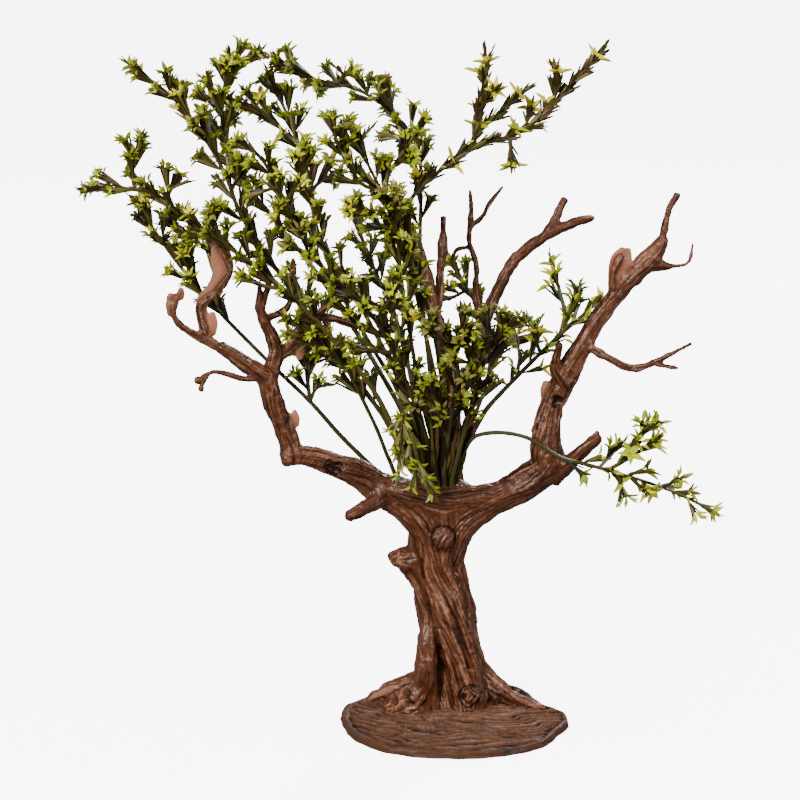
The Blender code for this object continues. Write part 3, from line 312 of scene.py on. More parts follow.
# "fork" is the column and row where a stem is planted; "bare" is the share without shoots
sprigs = {
    "sprig_left_low": dict(foot=(-24.5, 4.5, 87.5), bare=0.6, routes=[
        [(-27.5, 8.2, 91.5), (-33, 9.5, 96.6), (-42.3, 8, 106.5), (-53, 4, 119.9), (-68, 3, 135),
         (-87, 3, 155), (-101, 4, 172), (-115, 4, 193)],
        [(-94, 3, 163), (-96, 1, 173), (-97, 0, 178)],
        [(-90, 3, 159), (-87, 5, 166), (-88, 7, 173), (-98, 10, 181), (-105, 12, 183)],
        [(-53, 4, 120), (-53.7, 4, 126), (-54.4, 5, 133), (-54.1, 7, 140)],
        [(-53, 4, 120), (-50.7, 1, 125.5), (-47.1, -1, 126.7)]]),
    "sprig_left_front": dict(fork=(0, 0), bare=0.42, routes=[
        [(-17.4, -5.4, 98), (-23.4, -8, 113.9), (-31.2, -10, 129), (-47, -12, 149.3),
         (-61, -14, 164),
         (-74, -15, 175), (-96, -18, 190), (-109, -21, 200), (-130, -24, 201)],
        [(-111, -21, 201), (-112, -23, 208), (-109, -26, 220)],
        [(-102, -19, 196), (-100, -19, 201), (-94, -18, 203)],
        [(-81, -16, 178), (-84, -22, 185), (-85, -30, 196)],
        [(-61, -14, 164), (-69, -16, 166), (-76, -17, 171)]]),
    "sprig_left_high": dict(fork=(0, 1), bare=0.5, routes=[
        [(-28, -2, 118), (-49, -5, 146), (-63, -5, 168), (-76, -5, 188),
         (-82, -6, 204), (-91, -6, 220), (-100, -7, 231), (-114, -8, 242)],
        [(-86, -6, 211), (-88, -10, 219), (-88, -14, 226)],
        [(-95, -7, 225), (-97, -4, 231), (-96, -2, 235)],
        [(-80, -5, 197), (-77, -11, 204), (-76, -16, 211)]]),
    "sprig_top_left": dict(fork=(0, 2), bare=0.55, routes=[
        [(-15, 4, 105), (-24, 5, 124), (-46, 8, 160), (-65, 9, 185),
         (-82, 11, 208), (-83, 13, 231), (-76, 14, 247)],
        [(-84, 12, 222), (-88, 17, 226), (-93, 22, 230)],
        [(-84, 12, 226), (-87, 10, 231), (-88, 8, 236)],
        [(-83, 13, 231), (-82, 9, 238), (-81, 6, 245)],
        [(-81, 13, 235), (-75, 17, 240), (-70, 20, 245)],
        [(-84, 12, 217), (-81, 18, 221), (-82, 24, 226)]]),
    "sprig_crown_left": dict(fork=(1, 1), bare=0.42, routes=[
        [(-21, -6, 125), (-30, -10, 142), (-40, -14, 160), (-55, -20, 186),
         (-68, -27, 212), (-78, -30, 217)],
        [(-60, -23, 195), (-56, -27, 203), (-52, -36, 218)],
        [(-48, -17, 175), (-53, -25, 179), (-59, -34, 184)],
        [(-63, -24, 201), (-68, -23, 200), (-72, -22, 197)]]),
    "sprig_crown_mid": dict(fork=(1, 2), bare=0.5, routes=[
        [(-19, 5, 123), (-36, 11, 156), (-50, 15, 180), (-55, 20, 206),
         (-63, 23, 216), (-77, 26, 224)],
        [(-57, 21, 209), (-60, 25, 217), (-68, 34, 235)],
        [(-63, 23, 216), (-70, 20, 223), (-76, 18, 231)],
        [(-52, 18, 195), (-48, 26, 198), (-42, 34, 199)]]),
    "sprig_arch": dict(fork=(2, 3), bare=0.5, routes=[
        [(-9, 8, 123), (-13, 13, 163), (-13, 17, 196), (-14, 19, 210),
         (-21, 22, 220), (-35, 24, 230), (-56, 28, 235), (-65, 30, 242)],
        [(-23, 22, 222), (-24, 28, 227), (-26, 36, 233)],
        [(-17, 21, 217), (-20, 30, 212), (-25, 38, 214)],
        [(-45, 26, 232), (-41, 24, 235), (-43, 22, 238)],
        [(-33, 23, 229), (-32, 28, 231), (-31, 33, 234)],
        [(-53, 27, 234), (-50, 36, 229)]]),
    "sprig_mid_top": dict(fork=(2, 1), bare=0.4, routes=[
        [(-9, -4, 107), (-13, -5, 124), (-19, -9, 160), (-22, -13, 185),
         (-27, -15, 199), (-34, -17, 215), (-31, -18, 221)],
        [(-27, -15, 199), (-34, -16, 202), (-42, -20, 216), (-43, -22, 227)],
        [(-34, -17, 212), (-38, -16, 216), (-40, -14, 222)],
        [(-22, -13, 185), (-28, -18, 188), (-38, -30, 197)]]),
    "sprig_cross_top": dict(fork=(3, 1), bare=0.42, routes=[
        [(-4, 0, 106), (-6, -1, 121), (-14, -3, 158), (-19, -6, 186),
         (-26, -7, 199), (-17, -9, 216), (-12, -10, 225)],
        [(-23, -8, 208), (-19, -13, 211), (-19, -17, 214)],
        [(-18, -4, 173), (-23, -12, 184), (-22, -20, 200)]]),
    "sprig_right_top": dict(fork=(3, 2), bare=0.56, style="spiky", routes=[
        [(-3, 3, 106), (-8, 4, 144), (-17, 5, 179), (-17, 5, 193), (4, 6, 211),
         (25, 7, 219), (49, 8, 244)],
        [(3, 6, 211), (6, 4, 220), (10, 2, 243)],
        [(7, 4, 224), (10, 0, 229), (12, -4, 232)],
        [(4, 6, 212), (9, 8, 219), (22, 12, 230)],
        [(32, 7, 226), (34, 6, 232), (34, 4, 239)],
        [(24, 7, 218), (26, 14, 224)],
        [(20, 7, 215), (19, 4, 209)]]),
    "sprig_right_mid": dict(fork=(4, 2), bare=0.48, style="starry", routes=[
        [(1.6, 3, 100.2), (8.5, 5, 112.8), (12.1, 6, 118.1), (23, 8, 129.4), (35, 10, 141),
         (48, 13, 152), (52, 13, 157)],
        [(40, 11, 145), (40, 13, 151), (34, 18, 170)],
        [(42, 11, 147), (44, 13, 154), (42, 14, 161)],
        [(21, 8, 128), (22.5, 12, 136), (20, 16, 143)],
        [(30, 9, 136), (28, 8, 144), (30, 8, 149)]]),
    "sprig_right_low": dict(fork=(4, 1), bare=0.5, style="starry", routes=[
        [(2.2, -3.4, 102.3), (5.6, -5.2, 108.4), (10, -6.6, 110.4), (17.1, -8, 111),
         (26, -9, 109), (37, -10, 102.4), (46, -10, 100), (65, -13, 95), (80, -16, 90),
         (92, -18, 84)],
        [(50, -10, 99), (54, -10, 103), (59, -10, 108)],
        [(53, -11, 98), (60, -15, 103), (70, -22, 112)],
        [(60, -15, 103), (63, -18, 111), (71, -26, 119)],
        [(57, -12, 96), (59, -12, 92), (58, -12, 87)],
        [(74, -14, 93), (79, -22, 98)],
        [(61, -12, 95), (66, -22, 93)]]),
    "sprig_left_inner": dict(foot=(-20.5, 3.5, 87), bare=0.45, routes=[
        [(-22.6, 2.6, 93.8), (-25.2, 0, 100.9), (-29.5, -4, 113), (-38.3, -8, 132.2),
         (-41.8, -9, 137.5), (-54.8, -12, 148.6), (-61, -14, 154)],
        [(-41.8, -9, 137.5), (-44, -10.4, 139), (-47, -12, 138.6)]]),
    "sprig_front_left": dict(fork=(2, 0), bare=0.3, style="low", routes=[
        [(-13, -11, 116), (-23, -20, 143), (-34, -29, 163), (-44, -34, 171)],
        [(-23, -20, 143), (-30, -22, 144), (-38, -24, 147)],
        [(-28, -25, 155), (-23, -31, 164), (-21, -36, 172)]]),
    "sprig_front_mid": dict(fork=(3, 0), bare=0.3, style="low", routes=[
        [(-3, -12, 115), (0, -18, 133), (-1, -23, 144), (1, -27, 152),
         (0, -30, 160)],
        [(-1, -15, 126), (4, -19, 131), (6, -22, 137)],
        [(-1, -23, 144), (-7, -30, 150), (-10, -36, 158)],
        [(-3, -12, 115), (-8, -19, 124), (-12, -26, 133)]]),
    "sprig_front_right": dict(fork=(4, 0), bare=0.3, style="low", routes=[
        [(0.6, -7.4, 104), (4.6, -10, 120), (12, -16, 145), (22, -20, 155)],
        [(8, -13, 133), (3, -22, 142), (4, -30, 152)],
        [(12, -16, 145), (10, -14, 151), (12, -12, 156)]]),
    "sprig_hanging": dict(fork=(1, 0), bare=0.4, style="hanging", routes=[
        [(-14, -8, 114), (-17, -11, 122), (-20, -14, 117), (-21, -17, 98)],
        [(-18, -12, 121), (-16, -15, 110), (-13, -16, 98), (-8.5, -14, 90)]]),
    "sprig_back_left": dict(fork=(0, 3), bare=0.35, routes=[
        [(-20, 8, 101), (-28, 15, 114), (-37, 24, 125), (-52, 39, 144),
         (-62, 52, 161)],
        [(-45, 31, 135), (-53, 43, 133), (-60, 52, 129)],
        [(-52, 39, 144), (-46, 50, 149), (-43, 60, 156)]]),
    "sprig_back_mid": dict(fork=(1, 3), bare=0.35, routes=[
        [(-15, 17, 119), (-23, 35, 148), (-29, 44, 159), (-39, 60, 180)],
        [(-23, 35, 148), (-32, 41, 150), (-41, 48, 152)],
        [(-29, 44, 159), (-24, 53, 167), (-21, 62, 176)]]),
    "sprig_back_right": dict(fork=(4, 3), bare=0.35, routes=[
        [(10, 24, 118), (13, 36, 130), (11, 46, 141), (-1, 66, 161)],
        [(13, 36, 130), (17, 47, 135), (21, 57, 140)],
        [(5, 57, 152), (-2, 61, 148), (-9, 66, 151)]]),
}


def smoothRoute(points, step, parts=8):  # even steps along a smooth curve through the points
    pts = np.array(points, float)
    padded = np.vstack([2 * pts[0] - pts[1], pts, 2 * pts[-1] - pts[-2]])
    fine = [pts[0]]
    for i in range(len(pts) - 1):
        p0, p1, p2, p3 = padded[i:i + 4]
        for t in np.linspace(0, 1, parts + 1)[1:]:
            bend = 2 * p0 - 5 * p1 + 4 * p2 - p3
            twist = 3 * p1 - p0 - 3 * p2 + p3
            fine.append(0.5 * (2 * p1 + (p2 - p0) * t + bend * t * t + twist * t ** 3))
    fine = np.array(fine)
    along = lengthAlong(fine)
    count = max(2, round(along[-1] / step) + 1)
    stations = np.linspace(0, along[-1], count)
    return np.stack([np.interp(stations, along, fine[:, k]) for k in range(pts.shape[1])], axis=1)


def lengthAlong(points):
    return np.concatenate([[0], np.cumsum(np.linalg.norm(np.diff(points[:, :3], axis=0), axis=1))])


def routeFrames(points):
    tangents = np.gradient(points, axis=0)
    tangents /= np.linalg.norm(tangents, axis=1)[:, None]
    side = np.cross(tangents, (0.0, 1.0, 0.0))
    side /= np.maximum(np.linalg.norm(side, axis=1), 1e-6)[:, None]
    return tangents, side, np.cross(side, tangents)


bark = dict(
    voxel=0.42,               # size of the skin's faces
    step=1.6,                 # distance between stations of a limb
    section=4,                # fineness of a limb's section before the skin is made
    fillet=(3, 25),           # passes and rounds that fill the hollows where limbs meet
    evened=2,                 # rounds that even the skin all over
    # a soft saddle where the trunk forks: heights where it starts and ends, its middle, how far
    # out it fades, and rounds
    saddle=dict(rise=(77, 83), fall=(100, 94), middle=(-5, 3), reach=(17, 10), rounds=80),
    # grain: pitch, length, sharpness and share of each layer of ridges
    grain=((5.2, 26, 0.8, 0.27), (1.8, 14, 0.75, 0.41), (0.95, 8, 0.8, 0.32)),
    contrast=(0.45, 0.5),     # level of the grooves, and the range above it
    speckle=(1.1, 0.14),      # size and strength of the roughness on the ridges
    lobes=(11, 45, 0.9, 1.3),   # the same for broad muscles on the trunk and thick boughs, in mm
    drift=(24, 0.3),          # how the grain wanders: length and angle
    grooveDepth=(0.2, 0.08, 0.9),   # at no radius, more for each mm of radius, at most
    lump=(6, 0.36),           # size of the lumps, and their height over the limb's radius ** 0.5
    spread=0.9,               # over how many mm the grain of two limbs mixes
    forkBias=(72, 0.3, 4),    # above this height the boughs' grain takes over from the trunk's
    twist={"core": -0.02, "column": -0.02, "leftLeg": -0.01, "leg": -0.01,
           "bough_right_low": 0.02, "bough_left_low": -0.02},
    # extra thickness: where the low boughs run down into the trunk, a lip before the stems,
    # the leg, the column that twists down to the front foot, and ragged ends of boughs
    webs=dict(
        lip=[(-27, -1.2, 89.6, 4), (-17, -3, 87.2, 3.8), (-9, -4.6, 85.6, 3.9),
             (-2, -4.6, 85.8, 3.9), (6, -2.6, 86.6, 3.8), (15, 0.8, 85.8, 3.9)],
        rightFork=[(-3.2, 1.6, 60, 5.2), (-1.2, 1, 70, 6.4), (3.4, 0.8, 77.6, 6.6),
                   (11, 1, 82.8, 6), (19, 1.2, 87, 5)],
        leftFork=[(-7.4, 1.8, 62, 5.2), (-9.6, 1, 72, 6.4), (-14, 0.8, 79, 6.8),
                  (-21, 1, 84.2, 6), (-28.6, 0, 88.8, 5)],
        leg=[(-8.6, 4.6, 45, 2.2), (-9.4, 2, 37, 3), (-10.4, 0.3, 30, 3.9), (-10.8, -0.8, 22, 4.3),
             (-11.3, -0.8, 15, 4.4), (-14.4, -0.4, 9, 4.6), (-20, 1, 5, 4)],
        column=[(-6.4, 3.6, 57, 7), (-3, 3, 43, 7.4), (0.4, 2.6, 29, 7.2), (2.4, 2.2, 17, 6.5),
                (3.2, 2.2, 5, 6.4)],
        leftStub=[(-24.6, 0, 88.6, 3.6), (-29.4, -4, 84.8, 3.2), (-34.6, -6.6, 82.2, 2.6),
                  (-39.2, -8.8, 80.2, 2.2)],
        burlTop=[(-11, 3, 61, 5.6), (-16.6, 2, 61, 4.6), (-20.6, 1.6, 62, 2.8)],
        burlFoot=[(-18.4, 2.2, 59.6, 3.4), (-15.2, 2.6, 55.4, 3.6), (-11.4, 3.4, 50, 3.6)],
        rightStump=[(60, 7, 162.4, 3.3), (65, 7.6, 167.4, 3.9), (69, 8, 171.6, 4.1),
                    (72.4, 8, 175.6, 3), (74, 8, 179, 1.8)],
        rightLedge=[(68.4, 7.6, 168.4, 2), (72.6, 7.4, 168.6, 1.6), (76.4, 7, 168.8, 1.2)],
        rightStub=[(38.6, 2.4, 127, 2.7), (35.2, 1, 132.4, 2.3), (36, 0.4, 137.4, 1.6),
                   (36.6, -0.6, 142, 1.4)],
        elbowStub=[(36.6, 0.4, 94.8, 3.4), (41, -1.4, 99, 2.8), (46.4, -3, 104.4, 2.4),
                   (50.6, -4, 108.2, 2.2)],
        outerLeft=[(-69, -8.8, 132.2, 3.3), (-76, -10.6, 137.2, 2.9), (-84, -12.6, 143.4, 2.5)],
        backRight=[(9.4, 28, 140, 2.4), (14, 32, 152, 2.3), (21.6, 36.4, 165.8, 2.2),
                   (33.4, 39, 174.8, 2.1), (44, 40, 179.6, 1.9), (50.4, 40, 181.3, 1.5)],
        backRightFork=[(33, 39, 174, 1.9), (36.4, 40.2, 180, 1.9), (40.4, 42, 188.2, 1.6)],
        leftRidge=[(-89.2, -14.6, 148.4, 1.3), (-90.4, -13.8, 152.3, 1.3),
                   (-91.4, -13.2, 157.7, 1.3), (-89.2, -13.2, 160.2, 1.3), (-86, -13.4, 162.4, 1.3),
                   (-82.5, -13.6, 166.6, 1.3), (-80.3, -13.6, 170.6, 1.2),
                   (-81.3, -13.4, 174.5, 1.1), (-84, -13, 179, 0.9)],
        finRidge=[(56.2, 5.2, 161.4, 1.5), (55.9, 4.7, 167, 1.2), (57.4, 4.4, 171, 1.1),
                  (58.8, 4.6, 173.2, 0.9)]),
    # pale smooth limbs, and the level and share of the grain on them and on mould flash
    pale=("fin_right", "bough_left_upright"), flashGrain=(0.75, 0.25),
    # share of the grain on smoother limbs, and the level that it swings about
    smooth={"leg": 0.55, "leftLeg": 0.55, "burl": 0.5, "burlTop": 0.5}, smoothLevel=0.68,
    # places with curled lumps: middle, reach and height
    lumpy=[((-19, -1, 7), 9, 1), ((-20, 1, 62), 6, 0.5)],
    # round knots: middle, radius, and what is inside: "disc", "scroll" or "pit"
    knots=[((-5, -8.4, 71.6), 4.5, "disc"), ((5.4, -5, 10.6), 4.1, "scroll"),
           ((-44.2, -6.6, 97.6), 2.8, "pit"), ((36.2, -1.6, 120.8), 2.1, "pit"),
           ((4, 18, 60), 4.0, "disc"), ((-8, 16, 40), 3.4, "disc")],
    # inside a knot: level and swing of the grain, and how far it stands out
    knotInsides={"disc": (0.62, 0.2, 0.1), "scroll": (0.5, 0.4, 0.4), "pit": (0.1, 0.3, -1.3)},
    # round lumps on the trunk's foot, in the fork, on the burl and on a twig: middle and radius
    bumps=[((5.4, -0.4, 10.2), 4.8), ((-14, 2.5, 7), 4.4), ((-18.5, 4.5, 6.4), 4.2),
           ((-23, 6.5, 5.4), 3.8), ((-13.2, -0.6, 4.6), 3.9), ((-19, 0.8, 4.4), 3.4),
           ((-24.5, 3, 4), 3), ((0.4, -1.6, 92.4), 1.7), ((12.5, 5.5, 9), 4.2),
           ((-5, -0.8, 80.5), 6.8), ((-18.4, 0.6, 59.8), 3.3),
           ((-91.8, -18, 132.4), 1.3), ((-90.6, -18.6, 129.6), 1.1)],
    # deep cracks seen from the front (-1) or from behind (1): width, depth and (x, z) points
    cracks=[(-1, 1.1, 1.1, [(-8.1, 55.1), (-3.7, 46.8), (-1.5, 43), (1.4, 36.1), (3.6, 28.5),
                            (5.5, 20.9)]),
            (-1, 0.9, 1.0, [(-0.2, 74), (-0.6, 71.3), (-1.6, 65.7), (-0.5, 58.9), (2.1, 52.5),
                            (3.9, 43.8), (4.7, 36.1)]),
            (-1, 1.1, 2.6, [(-7.6, 35.5), (-6.2, 30), (-5.6, 24), (-5.6, 17.8), (-6, 8)]),
            (-1, 0.9, 0.8, [(-12.6, 62), (-11.8, 54), (-10.4, 46), (-9.6, 39), (-8.6, 35)]),
            (1, 1.2, 1.4, [(-9, 78), (-10, 66), (-7, 54), (-6, 42), (-4, 30), (-3, 18), (-5, 8)])],
)


def tubeShapes():  # every tube of the trunk and limbs, with the limb it belongs to
    shapes = [dict(shape, limb=key, kind="trunk") for key, shape in trunk.items()]
    for name, limb in limbs.items():
        shapes.append(dict(route=limb["route"], depth=limb["depth"], limb=name, kind="limb"))
        for twig in limb.get("twigs", ()):
            shapes.append(dict(route=twig, depth=1, limb=name, kind="twig"))
        for low, high, reach in limb.get("flash", ()):
            middle = [(a + b) / 2 for a, b in zip(low, high)]
            route = [(*low, 0.6 * reach), (*middle, reach), (*high, 0.6 * reach)]
            shapes.append(dict(route=route, depth=0.4, limb=name, kind="flash"))
    for name, web in bark["webs"].items():
        shapes.append(dict(route=web, depth=1, limb=name, kind="trunk"))
    for shape in shapes:
        shape["flash"] = shape["kind"] == "flash" or shape["limb"] in bark["pale"]
    return shapes


def roundedEnds(route):  # two more stations at each end, so that a tube doesn't end flat
    tangents = routeFrames(route[:, :3])[0]
    head, tail = [], []
    for reach, share in ((0.22, 0.8), (0.36, 0.35)):
        r = route[0, 3]
        head.insert(0, [*(route[0, :3] - tangents[0] * 0.5 * reach * r), share * r])
        r = route[-1, 3]
        tail.append([*(route[-1, :3] + tangents[-1] * reach * r), share * r])
    return np.vstack([head, route, tail])


def sweepTube(shape):
    route = roundedEnds(smoothRoute(shape["route"], bark["step"]))
    bpy.ops.curve.primitive_nurbs_path_add()
    obj = bpy.context.object
    curve = obj.data
    curve.dimensions = "3D"
    curve.splines.clear()
    spline = curve.splines.new("POLY")
    spline.points.add(len(route) - 1)
    for point, (x, y, z, r) in zip(spline.points, route):
        point.co = (x * mm, y * mm, z * mm, 1)
        point.radius = r
    curve.bevel_depth = mm
    curve.bevel_resolution = bark["section"]
    curve.use_fill_caps = True
    bpy.ops.object.convert(target="MESH")
    obj = bpy.context.object
    points = vertexArray(obj)  # flatten the section in depth
    near = np.argmin(np.linalg.norm(points[:, None] - route[None, :, :3], axis=2), axis=1)
    points[:, 1] = route[near, 1] + (points[:, 1] - route[near, 1]) * shape["depth"]
    setVertices(obj, points)
    return obj


def relax(points, edges, rounds, normals=None):   # with normals given, only hollows are filled
    count = np.bincount(edges.ravel(), minlength=len(points))[:, None]
    for _ in range(rounds):
        total = np.stack([np.bincount(edges.ravel(), points[edges[:, ::-1], k].ravel(), len(points))
                          for k in range(3)], axis=1)
        move = total / np.maximum(count, 1) - points
        if normals is not None:
            outward = np.einsum("ij,ij->i", move, normals)
            move[outward < 0] = 0
        points = points + move * 0.5
    return points


def meshEdges(obj):
    flat = np.zeros(len(obj.data.edges) * 2, np.int32)
    obj.data.edges.foreach_get("vertices", flat)
    return flat.reshape(-1, 2)


def stripes(phase, count, along, length, sharp, seed):  # 0 in a groove, 1 on a rounded ridge
    line = np.floor(phase + 0.5)
    gap = np.abs(phase - line) * 2
    line = line % count
    spot = np.column_stack([line * 1.7, along / length, line * 0.37])
    strength = np.clip(0.72 + 0.8 * wave(spot, seed), 0.08, 1)
    return 1 - strength * (1 - np.sin(gap * math.pi / 2) ** sharp)


def aroundLimb(points, shape):   # the points near a limb, and where round it and along it they lie
    route = smoothRoute(shape["route"], bark["step"])
    reach = route[:, 3].max() + 5
    low = route[:, :3].min(0) - reach
    high = route[:, :3].max(0) + reach
    inside = np.where(np.all((points > low) & (points < high), axis=1))[0]
    spots = points[inside]
    gap = np.linalg.norm(spots[:, None] - route[None, :, :3], axis=2) - route[None, :, 3]
    near = np.argmin(gap, axis=1)
    tangents, side, front = routeFrames(route[:, :3])
    offset = (spots - route[near, :3]) / (1, shape["depth"], 1)
    shift = np.einsum("ij,ij->i", offset, tangents[near])
    radial = offset - tangents[near] * shift[:, None]
    level = np.linalg.norm(radial, axis=1) - route[near, 3] + np.maximum(np.abs(shift) - 2, 0)
    if shape["limb"] == "core":
        start, slope, most = bark["forkBias"]
        level = level + np.clip((spots[:, 2] - start) * slope, 0, most)
    along = lengthAlong(route)[near] + shift
    angle = np.arctan2(np.einsum("ij,ij->i", radial, front[near]),
                       np.einsum("ij,ij->i", radial, side[near]))
    return inside, level, along, angle, route[near, 3]


def limbGrain(shape, seed, along, angle, size):   # height of a limb's ridges, and of its muscles
    turn = angle + bark["twist"].get(shape["limb"], 0.01) * along
    ring = np.stack([np.cos(turn), np.sin(turn)], axis=1)
    length, sway = bark["drift"]
    turn = turn + sway * wave(np.column_stack([along / length, ring * 1.3]), seed)
    lobe = 0 * along
    height = 0 * along
    for layer, (pitch, length, sharp, share) in enumerate((*bark["grain"], bark["lobes"])):
        lines = max(4, round(2 * math.pi * size.mean() / pitch))
        warp = 0.9 * wave(np.column_stack([ring * size[:, None] / (3 * pitch), along / length]),
                          seed + 10 + layer)
        warp += 0.24 * wave(np.column_stack([ring * size[:, None] / pitch, along / length * 2]),
                            seed + 20 + layer)
        ridge = stripes(turn * lines / (2 * math.pi) + warp, lines, along, length, sharp,
                        seed + layer)
        if layer < len(bark["grain"]):
            height += share * ridge
        else:
            lobe = (ridge - 0.6) * share * smoothStep(3.5, 7, size)
    level, share = bark["flashGrain"]
    if shape["flash"]:
        height = level + share * (height - level)
    level = bark["smoothLevel"]
    height = level + bark["smooth"].get(shape["limb"], 1) * (height - level)
    return height, lobe


def barkGrain(points, shapes):  # height of the grain, mixed between the limbs nearest to a point
    best = np.full(len(points), 1e9)
    fields = []
    for number, shape in enumerate(shapes):
        if shape["limb"] != "knot":
            inside, level, *place = aroundLimb(points, shape)
            best[inside] = np.minimum(best[inside], level)
            fields.append((number, shape, inside, level, place))
    total, relief, radius, flash, muscle = np.zeros((5, len(points)))
    for number, shape, inside, level, (along, angle, size) in fields:
        weight = np.exp(-np.clip((level - best[inside]) / bark["spread"], 0, 30))
        height, lobe = limbGrain(shape, 7 * number + 3, along, angle, size)
        total[inside] += weight
        relief[inside] += weight * height
        radius[inside] += weight * size
        flash[inside] += weight * shape["flash"]
        muscle[inside] += weight * lobe
    return relief / total, radius / total, flash / total, muscle / total


def barkKnots(points, relief, pitShade):
    lift = np.zeros(len(points))
    for (x, y, z), size, inside in bark["knots"]:
        offset = points - (x, y, z)
        uneven = (0.35 if inside != "pit" else 0.9) * wave(points / 2.2, 15)
        uneven += 0.2 * wave(points / 0.9, 16)
        spread = np.linalg.norm(offset * (1, 0.6, 1), axis=1) + uneven
        near = spread < size * 1.5
        rim = np.exp(-((spread - size) / 0.38) ** 2)
        core = smoothStep(size, size - 0.8, spread)
        turn = np.arctan2(offset[:, 2], offset[:, 0])
        lines = {"disc": np.sin((offset[:, 0] * 0.9 - offset[:, 2] * 0.5) * 3.4 + 4 * uneven),
                 "scroll": np.sin(spread * 3.4 + turn + 9 * uneven),
                 "pit": np.sin(spread * 6)}[inside]
        level, swing, raised = bark["knotInsides"][inside]
        relief[near] = (relief * (1 - core) + core * (level + swing * lines))[near]
        # the ring round a knot is sunk, and its lowered grain gives it the dark groove colour as
        # painted shade
        relief[near] -= (0.8 * rim)[near]
        lift[near] += (raised * core - 0.35 * rim)[near]
        if inside == "pit":
            # painted shade in the pit's hollow
            pitShade[near] = np.maximum(pitShade, core * (0.6 + 0.3 * wave(points / 0.8, 17)))[near]
    return relief, lift, pitShade


def barkCracks(points, normals):  # how deep the cracks cut at each point, from 0 to 1, and in mm
    share = np.zeros(len(points))
    depth = np.zeros(len(points))
    for facing, width, deep, line in bark["cracks"]:
        front = smoothStep(0.05, 0.45, normals[:, 1] * facing)
        line = smoothRoute([(x, 0, z, 0) for x, z in line], 1.5)[:, (0, 2)]
        flat = points[:, (0, 2)]
        wander = 0.35 * wave(points / 4, 44)
        best = np.full(len(points), 1e9)
        for a, b in zip(line, line[1:]):
            t = np.clip(((flat - a) @ (b - a)) / ((b - a) @ (b - a)), 0, 1)
            best = np.minimum(best, np.linalg.norm(flat - a - t[:, None] * (b - a), axis=1))
        cut = np.exp(-((best + wander) / width) ** 2) * front
        cut *= 0.6 + 0.4 * wave(points / 7, 45)
        share = np.maximum(share, cut)
        depth = np.maximum(depth, cut * deep)
    return share, depth


def barkSkin(shapes):   # one smooth skin over all the tubes, filled where limbs meet
    deselectAll()
    tubes = [sweepTube(shape) for shape in shapes]
    for middle, size in bark["bumps"]:
        bpy.ops.mesh.primitive_uv_sphere_add(segments=20, ring_count=12, radius=size * mm,
                                             location=[c * mm for c in middle])
        pick(bpy.context.object)
        bpy.ops.object.transform_apply(location=True, rotation=True, scale=True)
        tubes.append(bpy.context.object)
    tree = joinAll(tubes, "bark")
    applyModifier(tree, "REMESH", mode="VOXEL", voxel_size=bark["voxel"] * mm)
    edges = meshEdges(tree)
    points = vertexArray(tree)
    passes, rounds = bark["fillet"]
    for _ in range(passes):
        points = relax(points, edges, rounds, vertexNormals(tree))
        setVertices(tree, points)
    points = relax(points, edges, bark["evened"])
    saddle = bark["saddle"]
    soft = relax(points, edges, saddle["rounds"])
    x, y, z = points.T
    out = np.hypot(x - saddle["middle"][0], y - saddle["middle"][1])
    fork = (smoothStep(*saddle["rise"], z) * smoothStep(*saddle["fall"], z)
            * smoothStep(*saddle["reach"], out))
    points += (soft - points) * fork[:, None]
    setVertices(tree, points)
    return tree, points


def makeBark():
    shapes = tubeShapes()
    tree, points = barkSkin(shapes)
    normals = vertexNormals(tree)
    relief, radius, flash, muscle = barkGrain(points, shapes)
    grooves, span = bark["contrast"]
    fine, strength = bark["speckle"]
    relief = (relief - grooves) / span + strength * wave(points / fine, 14)
    pitShade = np.zeros(len(points))
    relief, lift, pitShade = barkKnots(points, relief, pitShade)
    crack, cut = barkCracks(points, normals)
    # lowering the grain in the cracks sinks them and gives them the dark groove colour as painted
    # shade
    relief -= crack ** 2 * 0.7
    lift -= cut
    base, more, most = bark["grooveDepth"]
    depth = np.minimum(base + more * radius, most)
    size, height = bark["lump"]
    thin = smoothStep(8, 2, radius)
    lumps = wave(points / size, 11) * height * np.sqrt(radius) * 0.5
    lumps += wave(points / (size * 0.4), 12) * height * np.sqrt(radius) * (0.2 + 0.5 * thin)
    lumps += wave(points / 1.4, 13) * (0.04 + 0.06 * thin)
    for middle, reach, height in bark["lumpy"]:
        near = smoothStep(reach, reach * 0.5, np.linalg.norm(points - middle, axis=1))
        curl = 1 - 2.2 * np.abs(wave(points / 2.8, 18))
        lumps += near * height * curl
        relief += near * (0.5 * curl - 0.1)
    move = (np.clip(relief, 0, 1.2) - 0.65) * depth + lift + (lumps + muscle) * (1 - flash)
    points = points + normals * move[:, None]
    points[:, 2] = np.maximum(points[:, 2], 0.4)
    setVertices(tree, points)
    keepValue(tree, "relief", np.clip(relief, -0.3, 1.2))
    keepValue(tree, "flash", flash)
    keepValue(tree, "pitShade", pitShade)
    bpy.ops.object.shade_smooth()
    print("bark:", len(tree.data.polygons), "faces")
    return tree


